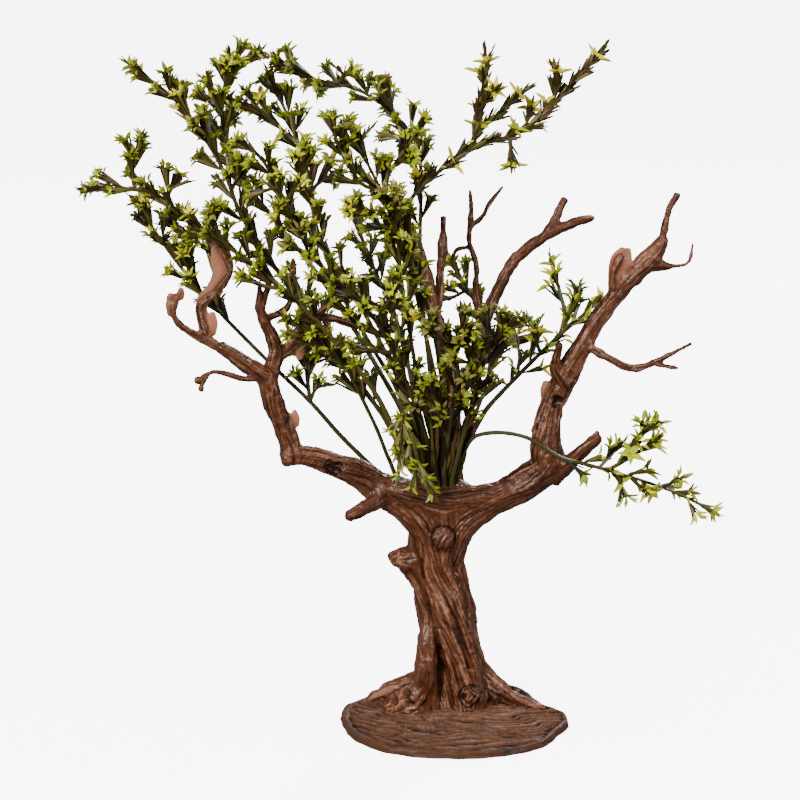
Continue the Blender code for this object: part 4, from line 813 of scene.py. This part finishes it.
stand = dict(
    rx=42.4, ry=42.0,         # half width and half depth
    rim=2.4, mound=2.6,       # height of the rim, and of the middle above it
    middle=(1.0, 8.0),        # where the mound is highest
    flare=0.5,                # how much wider the underside is
    waves=((0.5, 5, 4.97), (0.4, 3, 0.5)),   # height, count and turn
    dents=((7.5, 0.42, 0.36), (3.0, 2.62, 0.2), (1.6, -0.42, 0.25)),   # depth, angle and width
    sides=440, ringStep=0.42,   # faces round the edge, and distance between rings
    # the grain runs round this point: middle, squash of its rings, and mm for a radian round it
    grainMiddle=(4.0, 34.0), grainSquash=0.9, grainTurn=52,
    # grain: pitch, length, sharpness and share of each layer, and how deep it is
    grain=((2.9, 28, 0.95, 0.56), (1.4, 12, 0.85, 0.44)), depth=1.9,
    contrast=(0.35, 0.6),     # level of the grooves, and the range above it
    speckle=(1.3, 0.08),      # size and strength of the roughness on the ridges
    drift=((15, 12, 2.2), (5, 5, 1.0)),   # how the grain wanders: length, width and reach
    grainFade=(0.4, 2.6),     # how far in from the edge the grain starts and is full
    plain=0.8,                # level of the plastic where there is no grain
    walls=5,                  # rings up the rim's side
    edgeRound=(0.9, 0.54),    # how far in the rim's top edge is rounded, and its drop
    lip=(2.8, 0.25),          # a smooth lip round the edge: width and height
    # dark worn spots: place and size
    worn=((-35.2, -14, 1.8), (-5.5, -42.5, 1.3), (17.6, -38.5, 2.2), (22, -37.4, 1.2)),
)


def standEdge(angle):
    oval = 1 / np.hypot(np.cos(angle) / stand["rx"], np.sin(angle) / stand["ry"])
    waves = 0.22 * np.sin(13 * angle + 2 * np.sin(3 * angle)) + 0.12 * np.sin(31 * angle)
    for height, count, turn in stand["waves"]:
        waves = waves + height * np.cos(count * angle + turn)
    dents = 0
    for depth, middle, width in stand["dents"]:
        apart = (angle - middle + math.pi) % (2 * math.pi) - math.pi
        dents = dents + depth * np.exp(-(apart / width) ** 2)
    return oval + waves - dents


def standDisc():   # rings of faces up the side and in to the middle
    deselectAll()
    bpy.ops.mesh.primitive_circle_add(vertices=stand["sides"], radius=1, fill_type="NGON")
    obj = bpy.context.object
    obj.name = "stand_top"
    bpy.ops.object.mode_set(mode="EDIT")
    bpy.ops.mesh.select_all(action="SELECT")
    for _ in range(stand["walls"]):
        bpy.ops.mesh.extrude_region_move(
            TRANSFORM_OT_translate={"value": (0, 0, 1 / stand["walls"])})
    rings = round(stand["rx"] / stand["ringStep"])
    for k in range(rings, 1, -1):
        bpy.ops.mesh.extrude_region_move()
        share = (k - 1) / k
        bpy.ops.transform.resize(value=(share, share, 1), center_override=(0, 0, 1))
    bpy.ops.mesh.extrude_region_move()
    bpy.ops.mesh.merge(type="CENTER")
    bpy.ops.mesh.select_all(action="SELECT")
    bpy.ops.mesh.normals_make_consistent(inside=False)
    bpy.ops.object.mode_set(mode="OBJECT")
    return obj


def standGrain(x, y, z, inset):   # engraved on top, fading out before the edge
    gx, gy = x - stand["grainMiddle"][0], y - stand["grainMiddle"][1]
    across = np.hypot(gx * stand["grainSquash"], gy)
    around = np.arctan2(gx, -gy) * stand["grainTurn"]
    flat = 0 * x
    drift = 0
    for layer, (length, width, reach) in enumerate(stand["drift"]):
        spot = np.column_stack([around / length, across / width, flat])
        drift = drift + wave(spot, 5 + layer) * reach
    across = across + drift
    relief = 0
    for layer, (pitch, length, sharp, part) in enumerate(stand["grain"]):
        spot = np.column_stack([across / pitch / 2.5, around / length * 2, flat])
        lines = across / pitch + 0.75 * wave(spot, 24 + layer)
        relief = relief + part * stripes(lines, 999, around, length, sharp, 21 + layer)
    grooves, span = stand["contrast"]
    fine, strength = stand["speckle"]
    relief = (relief - grooves) / span + strength * wave(np.column_stack([x, y, z]) / fine, 29)
    fade = smoothStep(*stand["grainFade"], inset)
    return relief * fade + stand["plain"] * (1 - fade)


def makeStand():
    obj = standDisc()
    disc = vertexArray(obj) * mm
    share = np.hypot(disc[:, 0], disc[:, 1])
    angle = np.arctan2(disc[:, 1], disc[:, 0])
    up = disc[:, 2]
    edge = standEdge(angle)
    rise = 0.5 + 0.5 * np.cos(math.pi * np.clip(share, 0, 1))
    x = edge * share * np.cos(angle) + stand["middle"][0] * (1 - share)
    y = edge * share * np.sin(angle) + stand["middle"][1] * (1 - share)
    z = stand["rim"] + stand["mound"] * rise
    inset = edge * (1 - share)   # distance in from the edge
    relief = standGrain(x, y, z, inset)
    flat = 0 * x
    lipWidth, lipHeight = stand["lip"]   # with a groove behind it
    lipWidth = lipWidth * (1 + 0.35 * wave(np.column_stack([angle * 4, 0 * angle, flat]), 36))
    lip = smoothStep(lipWidth, lipWidth * 0.7, inset)
    uneven = 0.15 * wave(np.column_stack([angle * 14, inset / 2, flat]), 37)
    relief = relief + (0.75 + uneven - relief) * lip
    relief -= 0.25 * np.exp(-((inset - lipWidth) / 0.7) ** 2) * (y < 0)
    z = z + ((relief - stand["plain"]) * stand["depth"] + lip * lipHeight) * (up > 0.99)
    # round the rim
    roundWidth, roundDrop = stand["edgeRound"]
    corner = np.clip(1 - inset / roundWidth, 0, 1)
    z = z - roundDrop * corner ** 2
    wall = up < 0.999
    flare = stand["flare"] * (1 - up)
    ripple = 0.35 * wave(np.column_stack([angle * 9, up * 2, flat]), 31)
    wallReach = edge + flare + ripple * (up > 0.01) * (up < 0.99)
    x = np.where(wall, wallReach * np.cos(angle), x)
    y = np.where(wall, wallReach * np.sin(angle), y)
    z = np.where(wall, (stand["rim"] - roundDrop) * up, z)
    setVertices(obj, np.column_stack([x, y, np.maximum(z, 0)]))
    keepValue(obj, "relief", np.where(wall, 0.7, relief))
    worn = 0 * x
    for spotX, spotY, size in stand["worn"]:
        gap = np.sqrt((x - spotX) ** 2 + (y - spotY) ** 2 + ((z - 1.6) * 0.8) ** 2)
        ragged = gap + 0.8 * wave(np.column_stack([x, y, z]) / 0.9, 33)
        worn = np.maximum(worn, smoothStep(size, size * 0.6, ragged))
    keepValue(obj, "worn", worn)
    pick(obj)
    bpy.ops.object.shade_smooth_by_angle(angle=math.radians(50))
    print("stand:", len(obj.data.vertices), "vertices")
    return obj


foliage = dict(
    forkFirst=(-12.6, -4.2, 88.0), forkPitch=2.7, forkRise=5.0,   # where the stems are planted
    stemRadius=0.75, stemTip=0.45, twigRadius=0.6, stemSwell=1.3,
    stemOval=0.12, stemRough=0.06,   # how far a stem's section is squashed, and its radius varies
    sample=3.0, stemStep=1.5, stemSides=7,
    # stems of different sprigs are eased apart, and away from the limbs
    gap=0.3, easeRounds=60, easeRoom=1.0, easeStems=0.35, easeLimbs=0.5, easeMost=0.8,
    easeBlur=(0.1, 0.2, 0.4, 0.2, 0.1), easeFoot=(3, 5),
    goldenAngle=2.39996,      # turn from one leaf to the next
    twigBare=(2.5, 0.3),      # bare start of a twig: in mm, or as a share of it
    endTuft=9.5, tuckedTip=0.84,   # length of the last tuft; how far up a blade its tip sits
    flowerLeaves=(5, 6), flowerLength=(5.0, 6.6), flowerTilt=(34, 66), flowerWidth=(2.0, 2.7),
    spikes=7, spikeLength=(4, 7), spikeTilt=(8, 26), spikeWidth=1.3,
    brownStems=("sprig_left_front", "sprig_cross_top"),
    endRoom=8,                # side shoots stop this far from the tip
    splitAt=-30,              # dark leaves left of this x are in the left piece
    # dark and bright leaves: widths, where they are along the leaf, fold, thickness and curl
    blade=((0, 0.34, 0.5, 0.3, 0), (0, 0.3, 0.6, 0.84, 1), 0.45, 0.28, -0.25),
    petal=((0, 0.36, 0.5, 0.26, 0), (0, 0.22, 0.5, 0.78, 1), 0.5, 0.26, -0.9),
)
# stiff dark leaves round the stems in the fork
forkLeaves = dict(count=260, middle=(-7.2, 0.4, 88), reach=(6.6, 5.4), lean=(0.32, 0.3), rise=14,
                  length=(8, 18), width=(1.2, 2),
                  shades=("sheathDark", "sheathDark", "sheathOlive", "sheathBrown"))

# kinds of sprig; a colour named twice is drawn twice as often
darkShades = ("sheathDark", "sheathDark", "sheathOlive", "sheathOlive", "sheathBrown",
              "sheathLight")
styles = dict(
    # dark blades side by side, with a frill of bright tips that curl out
    brush=dict(sheathStep=1.8, sheathLeaves=2, sheathLength=(4, 6.5), sheathTilt=(2, 9),
               sheathWidth=(0.8, 1.3), step=3.8, jitter=(0.7, 1.3), length=(10.5, 15),
               lean=(16, 42), rise=0.2, blades=13, tilt=(2, 13), reach=(0.74, 0.92),
               width=(1.1, 1.6), tips=0.84, twins=0.15, tipLength=(2.5, 4.0), tipTilt=(8, 58),
               tipWidth=(1.15, 1.7), flowers=0, shades=darkShades,
               tints=(("tipLime", "tipGreen"), ("tipGreen", "tipOlive"), ("tipLime", "tipYellow"),
                      ("tipLime", "tipGreen"), ("tipGreen", "tipOlive"),
                      ("tipGreen", "sheathLight"))),
    # a rope of long brown spikes with a few large yellow flowers
    spiky=dict(sheathStep=1.6, sheathLeaves=3, sheathLength=(6, 9.5), sheathTilt=(6, 20),
               sheathWidth=(1.0, 1.6), step=7, jitter=(0.8, 1.2), length=(9, 12), lean=(14, 30),
               rise=0.1, blades=8, tilt=(4, 16), reach=(0.7, 1), width=(1.0, 1.6),
               tips=0.08, twins=0, tipLength=(2.6, 4), tipTilt=(15, 40), tipWidth=(1.2, 1.7),
               flowers=0.4, tints=(("tipYellow", "tipLime"),),
               shades=("sheathDark", "sheathBrown", "sheathBrown", "sheathLight", "sheathOlive")),
    # loose olive blades, each bundle opening into a star of long bright tips
    starry=dict(sheathStep=2.2, sheathLeaves=2, sheathLength=(4, 6), sheathTilt=(2, 9),
                sheathWidth=(0.7, 1.1), step=5.2, jitter=(0.75, 1.25), length=(9, 13),
                lean=(18, 40), rise=0.1, blades=8, tilt=(3, 14), reach=(0.66, 0.84),
                width=(1.0, 1.5),
                tips=0.8, twins=0.1, tipLength=(3.6, 5.2), tipTilt=(12, 52), tipWidth=(1.4, 1.9),
                flowers=0.12, shades=("sheathDark", "sheathOlive", "sheathOlive", "sheathLight"),
                tints=(("tipLime", "tipYellow"), ("tipLime", "tipGreen"), ("tipLime", "tipOlive"))),
)
# tufts low in the crown: fewer bright tips, and darker shades and tints as painted shade
styles["low"] = dict(styles["brush"], step=3.6, tips=0.55, blades=15,
                     tints=(("tipGreen", "tipOlive"), ("tipOlive", "sheathLight"),
                            ("tipLime", "tipGreen")),
                     shades=("sheathDark", "sheathDark", "sheathOlive", "sheathBrown"))
# long pale blades that hang over the front of the fork
styles["hanging"] = dict(styles["brush"], step=3.4, length=(8, 12), blades=8, tips=0.6, rise=-0.2,
                         shades=("sheathLight", "sheathOlive", "sheathPale"))


def footPoints(sprig):
    if "foot" in sprig:
        return [sprig["foot"]]
    column, row = sprig["fork"]
    x, y, z = foliage["forkFirst"]
    x += foliage["forkPitch"] * column
    y += foliage["forkPitch"] * row
    return [(x, y, z), (x, y, z + foliage["forkRise"])]


def sprigChains():
    chains = []
    for name, sprig in sprigs.items():
        for index, route in enumerate(sprig["routes"]):
            start = route if index else [*footPoints(sprig), *route]
            points = smoothRoute(start, foliage["sample"])
            foot = foliage["twigRadius"] if index else foliage["stemRadius"]
            radii = np.linspace(foot, foliage["stemTip"], len(points))
            chains.append(dict(sprig=name, index=index, points=points, radii=radii))
    return chains


def rootTwigs(chains):  # start each twig on its sprig's nearest earlier point
    for chain in chains:
        if chain["index"] == 0:
            continue
        spots = np.vstack([c["points"] for c in chains
                           if c["sprig"] == chain["sprig"] and c["index"] < chain["index"]])
        nearest = spots[np.argmin(np.linalg.norm(spots - chain["points"][0], axis=1))]
        fade = np.linspace(1, 0, len(chain["points"]))[:, None]
        chain["points"] += (nearest - chain["points"][0]) * fade


def easeApart(chains, limbRoutes):  # stems of different sprigs pass before or behind each other
    limbPoints = np.vstack([route[:, :3] for route in limbRoutes])
    limbRadii = np.concatenate([route[:, 3] for route in limbRoutes])
    names = list(sprigs)
    radii = np.concatenate([c["radii"] for c in chains])
    owner = np.concatenate([[i] * len(c["points"]) for i, c in enumerate(chains)])
    sprig = np.array([names.index(chains[i]["sprig"]) for i in owner])
    same = sprig[:, None] == sprig[None]
    order = np.sign(sprig[:, None] - sprig[None])
    room = foliage["gap"] + foliage["easeRoom"]
    for _ in range(foliage["easeRounds"]):
        points = np.vstack([c["points"] for c in chains])
        apart = points[:, None] - points[None]
        short = radii[:, None] + radii[None] + room - np.linalg.norm(apart, axis=2)
        short[same] = 0
        sign = np.where(np.abs(apart[:, :, 1]) > 1e-3, np.sign(apart[:, :, 1]), order)
        push = np.sum(np.maximum(short, 0) * sign, axis=1) * foliage["easeStems"]
        apart = points[:, None] - limbPoints[None]
        short = radii[:, None] + limbRadii[None] + room - np.linalg.norm(apart, axis=2)
        away = np.sum(np.maximum(short, 0) * np.sign(apart[:, :, 1]), axis=1)
        push += away * foliage["easeLimbs"]
        push = np.clip(push, -foliage["easeMost"], foliage["easeMost"])
        for i, chain in enumerate(chains):
            move = np.pad(push[owner == i], len(foliage["easeBlur"]) // 2, mode="edge")
            move = np.convolve(move, foliage["easeBlur"], "valid")
            if chain["index"] == 0:
                kept, loose = foliage["easeFoot"]
                move *= np.clip((np.arange(len(move)) - kept) / loose, 0, 1)
            chain["points"][:, 1] += move
        rootTwigs(chains)


def unit(vector):
    return vector / np.linalg.norm(vector)


def crosswise(direction):   # two directions square to it and to each other
    helper = np.array((0.0, 1.0, 0.0)) if abs(direction[1]) < 0.9 else np.array((1.0, 0, 0))
    u = unit(np.cross(direction, helper))
    return u, np.cross(direction, u)


def perpendicular(direction, angle):
    u, v = crosswise(direction)
    return u * math.cos(angle) + v * math.sin(angle)


def leafPattern(widths, lengths, fold, thick, curl):  # one leaf along +Z, 1 long, folded on its rib
    deselectAll()
    bpy.ops.mesh.primitive_circle_add(vertices=4, radius=1, fill_type="NOTHING")
    obj = bpy.context.object
    bpy.ops.object.mode_set(mode="EDIT")
    bpy.ops.mesh.select_all(action="SELECT")
    for low, high in zip(lengths[1:-2], lengths[2:-1]):
        bpy.ops.mesh.extrude_region_move(TRANSFORM_OT_translate={"value": (0, 0, high - low)})
    bpy.ops.object.mode_set(mode="OBJECT")
    rings = vertexArray(obj) * mm
    level = np.round(rings[:, 2] / 1e-4).astype(int)
    steps = sorted(set(level))
    faces = [tuple(p.vertices) for p in obj.data.polygons]
    bpy.data.objects.remove(obj)
    points = np.zeros((len(rings) + 2, 3))
    for i, (x, y, _) in enumerate(rings):
        k = steps.index(level[i])
        width = widths[k + 1]
        bend = curl * lengths[k + 1] ** 2
        points[i] = (x * width, y * thick * min(1, width * 4) + abs(x) * fold * width + bend,
                     lengths[k + 1])
    foot, tip = len(rings), len(rings) + 1
    points[foot] = (0, curl * lengths[0] ** 2, lengths[0])
    points[tip] = (0, curl * lengths[-1] ** 2, lengths[-1])
    turns = np.arctan2(rings[:, 1], rings[:, 0])
    low, high = [sorted(np.flatnonzero(level == step), key=lambda i: turns[i])
                 for step in (steps[0], steps[-1])]
    triangles = []
    for k in range(4):
        triangles.append((foot, low[(k + 1) % 4], low[k]))
        triangles.append((tip, high[k], high[(k + 1) % 4]))
    for face in faces:
        a, b, c, d = face
        triangles += [(a, b, c), (a, c, d)]
    triangles = np.array(triangles)
    middle = points[triangles].mean(axis=1)
    axis = np.stack([np.zeros(len(middle)), curl * middle[:, 2] ** 2 + 0.02, middle[:, 2]], axis=1)
    normal = np.cross(points[triangles[:, 1]] - points[triangles[:, 0]],
                      points[triangles[:, 2]] - points[triangles[:, 0]])
    inward = np.einsum("ij,ij->i", normal, middle - axis) < 0
    triangles[inward] = triangles[inward][:, ::-1]
    return points, triangles


class Pile:  # many copies of small patterns, gathered into one mesh
    def __init__(self, name, finishes):
        self.name = name
        self.finishes = finishes
        self.points, self.faces, self.kinds = [], [], []
        self.count = 0

    def add(self, points, faces, kind):
        self.points.append(points)
        self.faces.append(faces + self.count)
        self.kinds.append(np.broadcast_to(kind, len(faces)))
        self.count += len(points)

    def leaf(self, pattern, foot, way, turn, length, width, kind):
        points, faces = pattern
        across = perpendicular(way, turn)
        back = np.cross(way, across)
        placed = (foot + points[:, :1] * across * width + points[:, 1:2] * back * width
                  + points[:, 2:] * way * length)
        self.add(placed, faces, kind)

    def make(self):
        mesh = bpy.data.meshes.new(self.name)
        points = np.vstack(self.points) * mm
        faces = np.vstack(self.faces)
        mesh.from_pydata(points.tolist(), [], faces.tolist())
        for finish in self.finishes:
            mesh.materials.append(finish.material)
        mesh.polygons.foreach_set("material_index", np.concatenate(self.kinds).astype(np.int32))
        mesh.update()
        obj = bpy.data.objects.new(self.name, mesh)
        bpy.context.scene.collection.objects.link(obj)
        print(self.name + ":", len(faces), "triangles")
        return obj


def stemTube(points, radii, sides, chance):
    tangents, side, front = routeFrames(points)
    angles = np.arange(sides) / sides * 2 * math.pi
    squeeze = 1 + foliage["stemOval"] * np.cos(2 * angles + chance.uniform(0, 6))
    ring = (np.cos(angles)[None, :, None] * side[:, None]
            + np.sin(angles)[None, :, None] * front[:, None])
    rough = 1 + foliage["stemRough"] * np.array([chance.uniform(-1, 1) for _ in points])
    shell = points[:, None] + ring * (radii * rough)[:, None, None] * squeeze[None, :, None]
    verts = shell.reshape(-1, 3)
    faces = []
    for i in range(len(points) - 1):
        for k in range(sides):
            a, b = i * sides + k, i * sides + (k + 1) % sides
            faces += [(a, b, b + sides), (a, b + sides, a + sides)]
    foot, tip = len(verts), len(verts) + 1
    verts = np.vstack([verts, points[0], points[-1] + tangents[-1] * radii[-1] * 1.5])
    last = (len(points) - 1) * sides
    for k in range(sides):
        nxt = (k + 1) % sides
        faces += [(foot, nxt, k), (tip, last + k, last + nxt)]
    return verts, np.array(faces)


def growFoliage(finishes):
    limbRoutes = [smoothRoute(shape["route"], foliage["sample"]) for shape in tubeShapes()
                  if shape["kind"] != "trunk"]
    chains = sprigChains()
    rootTwigs(chains)
    easeApart(chains, limbRoutes)
    blade = leafPattern(*foliage["blade"])
    petal = leafPattern(*foliage["petal"])
    kinds = {name: i for i, name in enumerate(finishes)}
    allFinishes = list(finishes.values())
    stems = Pile("sprig_stems", allFinishes)
    sheaths = [Pile("sprig_sheaths_" + end, allFinishes) for end in ("left", "right")]
    stars = Pile("sprig_stars", allFinishes)
    for chain in chains:
        growChain(chain, stems, sheaths, stars, blade, petal, kinds)
    growFork(sheaths[1], blade, kinds)
    return [pile.make() for pile in (stems, *sheaths, stars)]


def growChain(chain, stems, sheaths, stars, blade, petal, kinds):
    f = foliage
    name = chain["sprig"]
    style = styles[sprigs[name].get("style", "brush")]
    chance = random.Random(name + " " + str(chain["index"]) + " fine")
    route = np.hstack([chain["points"], chain["radii"][:, None]])
    route = smoothRoute(route, f["stemStep"])
    points, radii = route[:, :3], route[:, 3] * f["stemSwell"]
    verts, faces = stemTube(points, radii, f["stemSides"], chance)
    stems.add(verts, faces, kinds["stemBrown" if name in f["brownStems"] else "stemGreen"])
    along = lengthAlong(points)
    reach = along[-1]
    tangents = routeFrames(points)[0]
    if chain["index"] == 0:
        start = reach * sprigs[name]["bare"]
    else:
        start = min(f["twigBare"][0], reach * f["twigBare"][1])

    def spotAt(place):
        spot = np.array([np.interp(place, along, points[:, k]) for k in range(3)])
        way = np.array([np.interp(place, along, tangents[:, k]) for k in range(3)])
        return spot, unit(way)

    def tilted(way, turn, degrees):
        tilt = math.radians(degrees)
        return unit(way * math.cos(tilt) + perpendicular(way, turn) * math.sin(tilt))

    def leafOn(pile, pattern, foot, way, turn, tilt, length, width, kind):
        lean = tilted(way, turn, tilt)
        pile.leaf(pattern, foot, lean, turnFor(lean, way), length, width, kinds[kind])
        return foot + lean * length

    def darkPile(foot):
        return sheaths[0] if foot[0] < f["splitAt"] else sheaths[1]

    def tuft(foot, way, length):
        first = chance.uniform(0, fullTurn)
        tints = chance.choice(style["tints"])
        for k in range(style["blades"]):
            share = k / style["blades"]
            turn = first + f["goldenAngle"] * k
            tilt = chance.uniform(*style["tilt"])
            low = foot + way * length * 0.25 * share
            long = length * (1 - 0.25 * share) * chance.uniform(*style["reach"])
            tip = leafOn(darkPile(foot), blade, low, way, turn, tilt, long,
                         chance.uniform(*style["width"]), chance.choice(style["shades"]))
            if chance.random() > style["tips"]:
                continue
            for _ in range(1 + (chance.random() < style["twins"])):   # bright tips that bend out
                leafOn(stars, petal, low + (tip - low) * f["tuckedTip"], way,
                       turn + chance.uniform(-0.7, 0.7), chance.uniform(*style["tipTilt"]),
                       chance.uniform(*style["tipLength"]), chance.uniform(*style["tipWidth"]),
                       chance.choice(tints))

    def flower(foot, way, length):   # a short dark shoot with a star on its end
        for k in range(f["spikes"]):
            leafOn(darkPile(foot), blade, foot + way * length * 0.06 * k, way,
                   f["goldenAngle"] * k, chance.uniform(*f["spikeTilt"]),
                   chance.uniform(*f["spikeLength"]), f["spikeWidth"],
                   chance.choice(style["shades"]))
        count = chance.randint(*f["flowerLeaves"])
        first = chance.uniform(0, fullTurn)
        tint = chance.choice(("tipYellow", "tipYellow", "tipLime"))
        for k in range(count):
            leafOn(stars, petal, foot + way * length * 0.72, way, first + 2 * math.pi * k / count,
                   chance.uniform(*f["flowerTilt"]), chance.uniform(*f["flowerLength"]),
                   chance.uniform(*f["flowerWidth"]), tint)

    place = start
    while place < reach - 0.8:   # dark leaves that hug the stem
        spot, way = spotAt(place)
        for k in range(style["sheathLeaves"]):
            leafOn(darkPile(spot), blade, spot, way, chance.uniform(0, fullTurn),
                   chance.uniform(*style["sheathTilt"]), chance.uniform(*style["sheathLength"]),
                   chance.uniform(*style["sheathWidth"]), chance.choice(style["shades"]))
        place += style["sheathStep"] * chance.uniform(0.85, 1.15)
    place = start + 1.0
    turn = chance.uniform(0, 2 * math.pi)
    while place < reach - f["endRoom"]:   # side shoots
        spot, way = spotAt(place)
        lean = tilted(way, turn, chance.uniform(*style["lean"]))
        lean = unit(lean + np.array((0, 0, style["rise"])))
        length = chance.uniform(*style["length"]) * min(1, 0.55 + (reach - place) / 30)
        if chance.random() < style["flowers"]:
            flower(spot, lean, length * 0.7)
        else:
            tuft(spot, lean, length)
        place += style["step"] * chance.uniform(*style["jitter"])
        turn += f["goldenAngle"]
    spot, way = spotAt(max(reach - f["endRoom"], reach * 0.3))
    tuft(spot, way, f["endTuft"])
    if style["flowers"] > 0.3:
        flower(spot, way, f["endTuft"])


def turnFor(lean, way):  # turns a leaf so that its upper face looks along the shoot
    u, v = crosswise(lean)
    across = np.cross(way, lean)
    return math.atan2(float(across @ v), float(across @ u))


def growFork(pile, blade, kinds):
    f = forkLeaves
    chance = random.Random("fork")
    for _ in range(f["count"]):
        turn = chance.uniform(0, 2 * math.pi)
        spread = math.sqrt(chance.uniform(0.2, 1))
        ring = np.array((math.cos(turn), math.sin(turn)))
        way = unit(np.array((*(ring * f["lean"]), 1.0)))
        foot = np.array((*(ring * spread * f["reach"] + f["middle"][:2]), f["middle"][2]))
        foot = foot + way * chance.uniform(0, f["rise"])
        shade = chance.choice(f["shades"])
        pile.leaf(blade, foot, way, chance.uniform(0, fullTurn), chance.uniform(*f["length"]),
                  chance.uniform(*f["width"]), kinds[shade])


# colours by the grain's level: the groove colour is partly a dark wash and partly painted shade in
# the grooves and cracks; the crest colour is partly the ridges' paler tone and partly a painted
# highlight; the pit colour is painted shade in the pits
barkColours = dict(grooveAndShade=(0.008, 0.0014, 0.0003), ridge=(0.057, 0.0182, 0.0072),
                   crestAndHighlight=(0.18, 0.08, 0.047), pit=(0.008, 0.0026, 0.0014), flash=(0.24, 0.1, 0.055))


def barkFinish():
    f = Finish("bark plastic")
    relief = f.value("relief")
    blotch = f.noise(120, 4)
    speck = f.noise(900, 2)
    level = relief + (blotch - 0.5) * 0.35 + (speck - 0.5) * 0.25
    height = f.height()   # painted shade makes the fork a little darker, and a painted highlight the boughs above it a little lighter
    level = level - 0.16 * f.between(height, 0.06, 0.08) + 0.05 * f.between(height, 0.094, 0.11)
    # low places get the dark groove colour, partly painted shade, and high ridges the crest colour,
    # partly a painted highlight
    low = f.between(level, 0.05, 0.8)
    high = f.between(level, 0.66, 1.15)
    colour = f.blend(low, barkColours["grooveAndShade"], barkColours["ridge"])
    colour = f.blend(high, colour, barkColours["crestAndHighlight"])
    # painted shade in the pits
    colour = f.blend(f.value("pitShade") * 0.8, colour, barkColours["pit"])
    colour = f.blend(f.value("flash") * 0.75, colour, barkColours["flash"])
    f.set(Base_Color=colour, Roughness=0.36 - 0.08 * high)
    f.set(Specular_IOR_Level=0.22, Specular_Tint=(1, 0.78, 0.66))
    f.bump(f.noise(1400, 3), 0.6, 0.0005)
    f.bump(speck + relief * 0.6, 0.5, 0.0003)
    return f


# the groove colour is painted shade in the grain's grooves; the crest colour is a painted highlight
# on the ridge tops
standColours = dict(grooveAndShade=(0.008, 0.0026, 0.0009), ridge=(0.06, 0.0238, 0.0116),
                    crestAndHighlight=(0.14, 0.065, 0.039), worn=(0.012, 0.008, 0.007))


def standFinish():
    f = Finish("stand plastic")
    relief = f.value("relief")
    blotch = f.noise(90, 4)
    speck = f.noise(800, 2)
    level = relief + (blotch - 0.5) * 0.3 + (speck - 0.5) * 0.2
    # painted shade in the grooves and a painted highlight on the ridge tops
    colour = f.blend(f.between(level, 0.3, 1), standColours["grooveAndShade"], standColours["ridge"])
    colour = f.blend(f.between(level, 0.88, 1.2), colour, standColours["crestAndHighlight"])
    colour = f.blend(f.value("worn") * 0.9, colour, standColours["worn"])
    f.set(Base_Color=colour, Roughness=0.5, Specular_IOR_Level=0.1)
    f.bump(f.noise(1200, 3) + relief * 0.5, 0.5, 0.0004)
    return f


# colour and roughness of the stems and leaves
leafColours = dict(
    stemGreen=((0.027, 0.024, 0.005), 0.4), stemBrown=((0.045, 0.033, 0.006), 0.45),
    sheathDark=((0.008, 0.0062, 0.0005), 0.4), sheathOlive=((0.037, 0.034, 0.003), 0.4),
    sheathBrown=((0.038, 0.019, 0.006), 0.42), sheathLight=((0.092, 0.076, 0.018), 0.42),
    sheathPale=((0.12, 0.11, 0.035), 0.42),
    tipOlive=((0.09, 0.095, 0.004), 0.4), tipGreen=((0.145, 0.17, 0.006), 0.4),
    tipLime=((0.26, 0.28, 0.01), 0.4), tipYellow=((0.48, 0.42, 0.02), 0.4))


def leafFinishes():
    made = {}
    for name, (colour, roughness) in leafColours.items():
        made[name] = Finish(name)
        made[name].set(Base_Color=colour, Roughness=roughness, Specular_IOR_Level=0.16)
    return made


def finished(obj, finish):
    obj.data.materials.clear()
    obj.data.materials.append(finish.material)
    return obj


tree = finished(makeBark(), barkFinish())
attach(tree, "root")
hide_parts("trunk", *limbs)

standTop = finished(makeStand(), standFinish())
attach(standTop, "root")
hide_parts("stand")

for piece in growFoliage(leafFinishes()):
    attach(piece, "root")
    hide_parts(*sprigs)

studio = dict(
    floorSize=24, floorColour=(0.93, 0.93, 0.93), floorGlow=6, world=0.45,
    # place, what it looks at, size, watts
    lights=dict(key=((-0.7, -1.05, 0.72), (0, 0, 0.12), 0.3, 40),
                side=((0.95, -0.7, 0.5), (0, 0, 0.12), 0.25, 15),
                back=((0.5, 1.2, 0.8), (0, 0, 0.12), 0.4, 14)),
    skyTilt=(24, -14), skyStrength=2.2, skySpread=75,   # a broad even light from above
    camera=(-0.0205, -0.9763, 0.3377), target=(-0.0205, 0, 0.1213), lens=125,
)


def aim(obj, target):
    way = Vector(target) - obj.location
    obj.rotation_euler = way.to_track_quat("-Z", "Y").to_euler()


deselectAll()
bpy.ops.mesh.primitive_plane_add(size=studio["floorSize"], location=(0, 0, 0))
floor = bpy.context.object
floor.name = "floor"
floorFinish = Finish("floor")
floorFinish.set(Base_Color=studio["floorColour"], Roughness=0.6)
floorFinish.set(Emission_Color=(1, 1, 1), Emission_Strength=studio["floorGlow"])
floor.data.materials.append(floorFinish.material)
floor.visible_diffuse = False   # its light doesn't flatten the shading of the tree
floor.visible_glossy = False

for name, (place, target, size, power) in studio["lights"].items():
    bpy.ops.object.light_add(type="AREA", location=place)
    light = bpy.context.object
    light.name = name
    light.data.size = size
    light.data.energy = power
    aim(light, target)

bpy.ops.object.light_add(type="SUN", location=(0, 0, 2))
sky = bpy.context.object
sky.name = "overhead"
sky.data.energy = studio["skyStrength"]
sky.data.angle = math.radians(studio["skySpread"])
sky.rotation_euler = [math.radians(angle) for angle in (*studio["skyTilt"], 0)]

world = bpy.data.worlds.new("studio")
world.use_nodes = True
world.node_tree.nodes["Background"].inputs["Color"].default_value = (1, 1, 1, 1)
world.node_tree.nodes["Background"].inputs["Strength"].default_value = studio["world"]
bpy.context.scene.world = world

bpy.ops.object.camera_add(location=studio["camera"])
camera = bpy.context.object
camera.data.lens = studio["lens"]
camera.data.sensor_width = 36
aim(camera, studio["target"])
bpy.context.scene.camera = camera
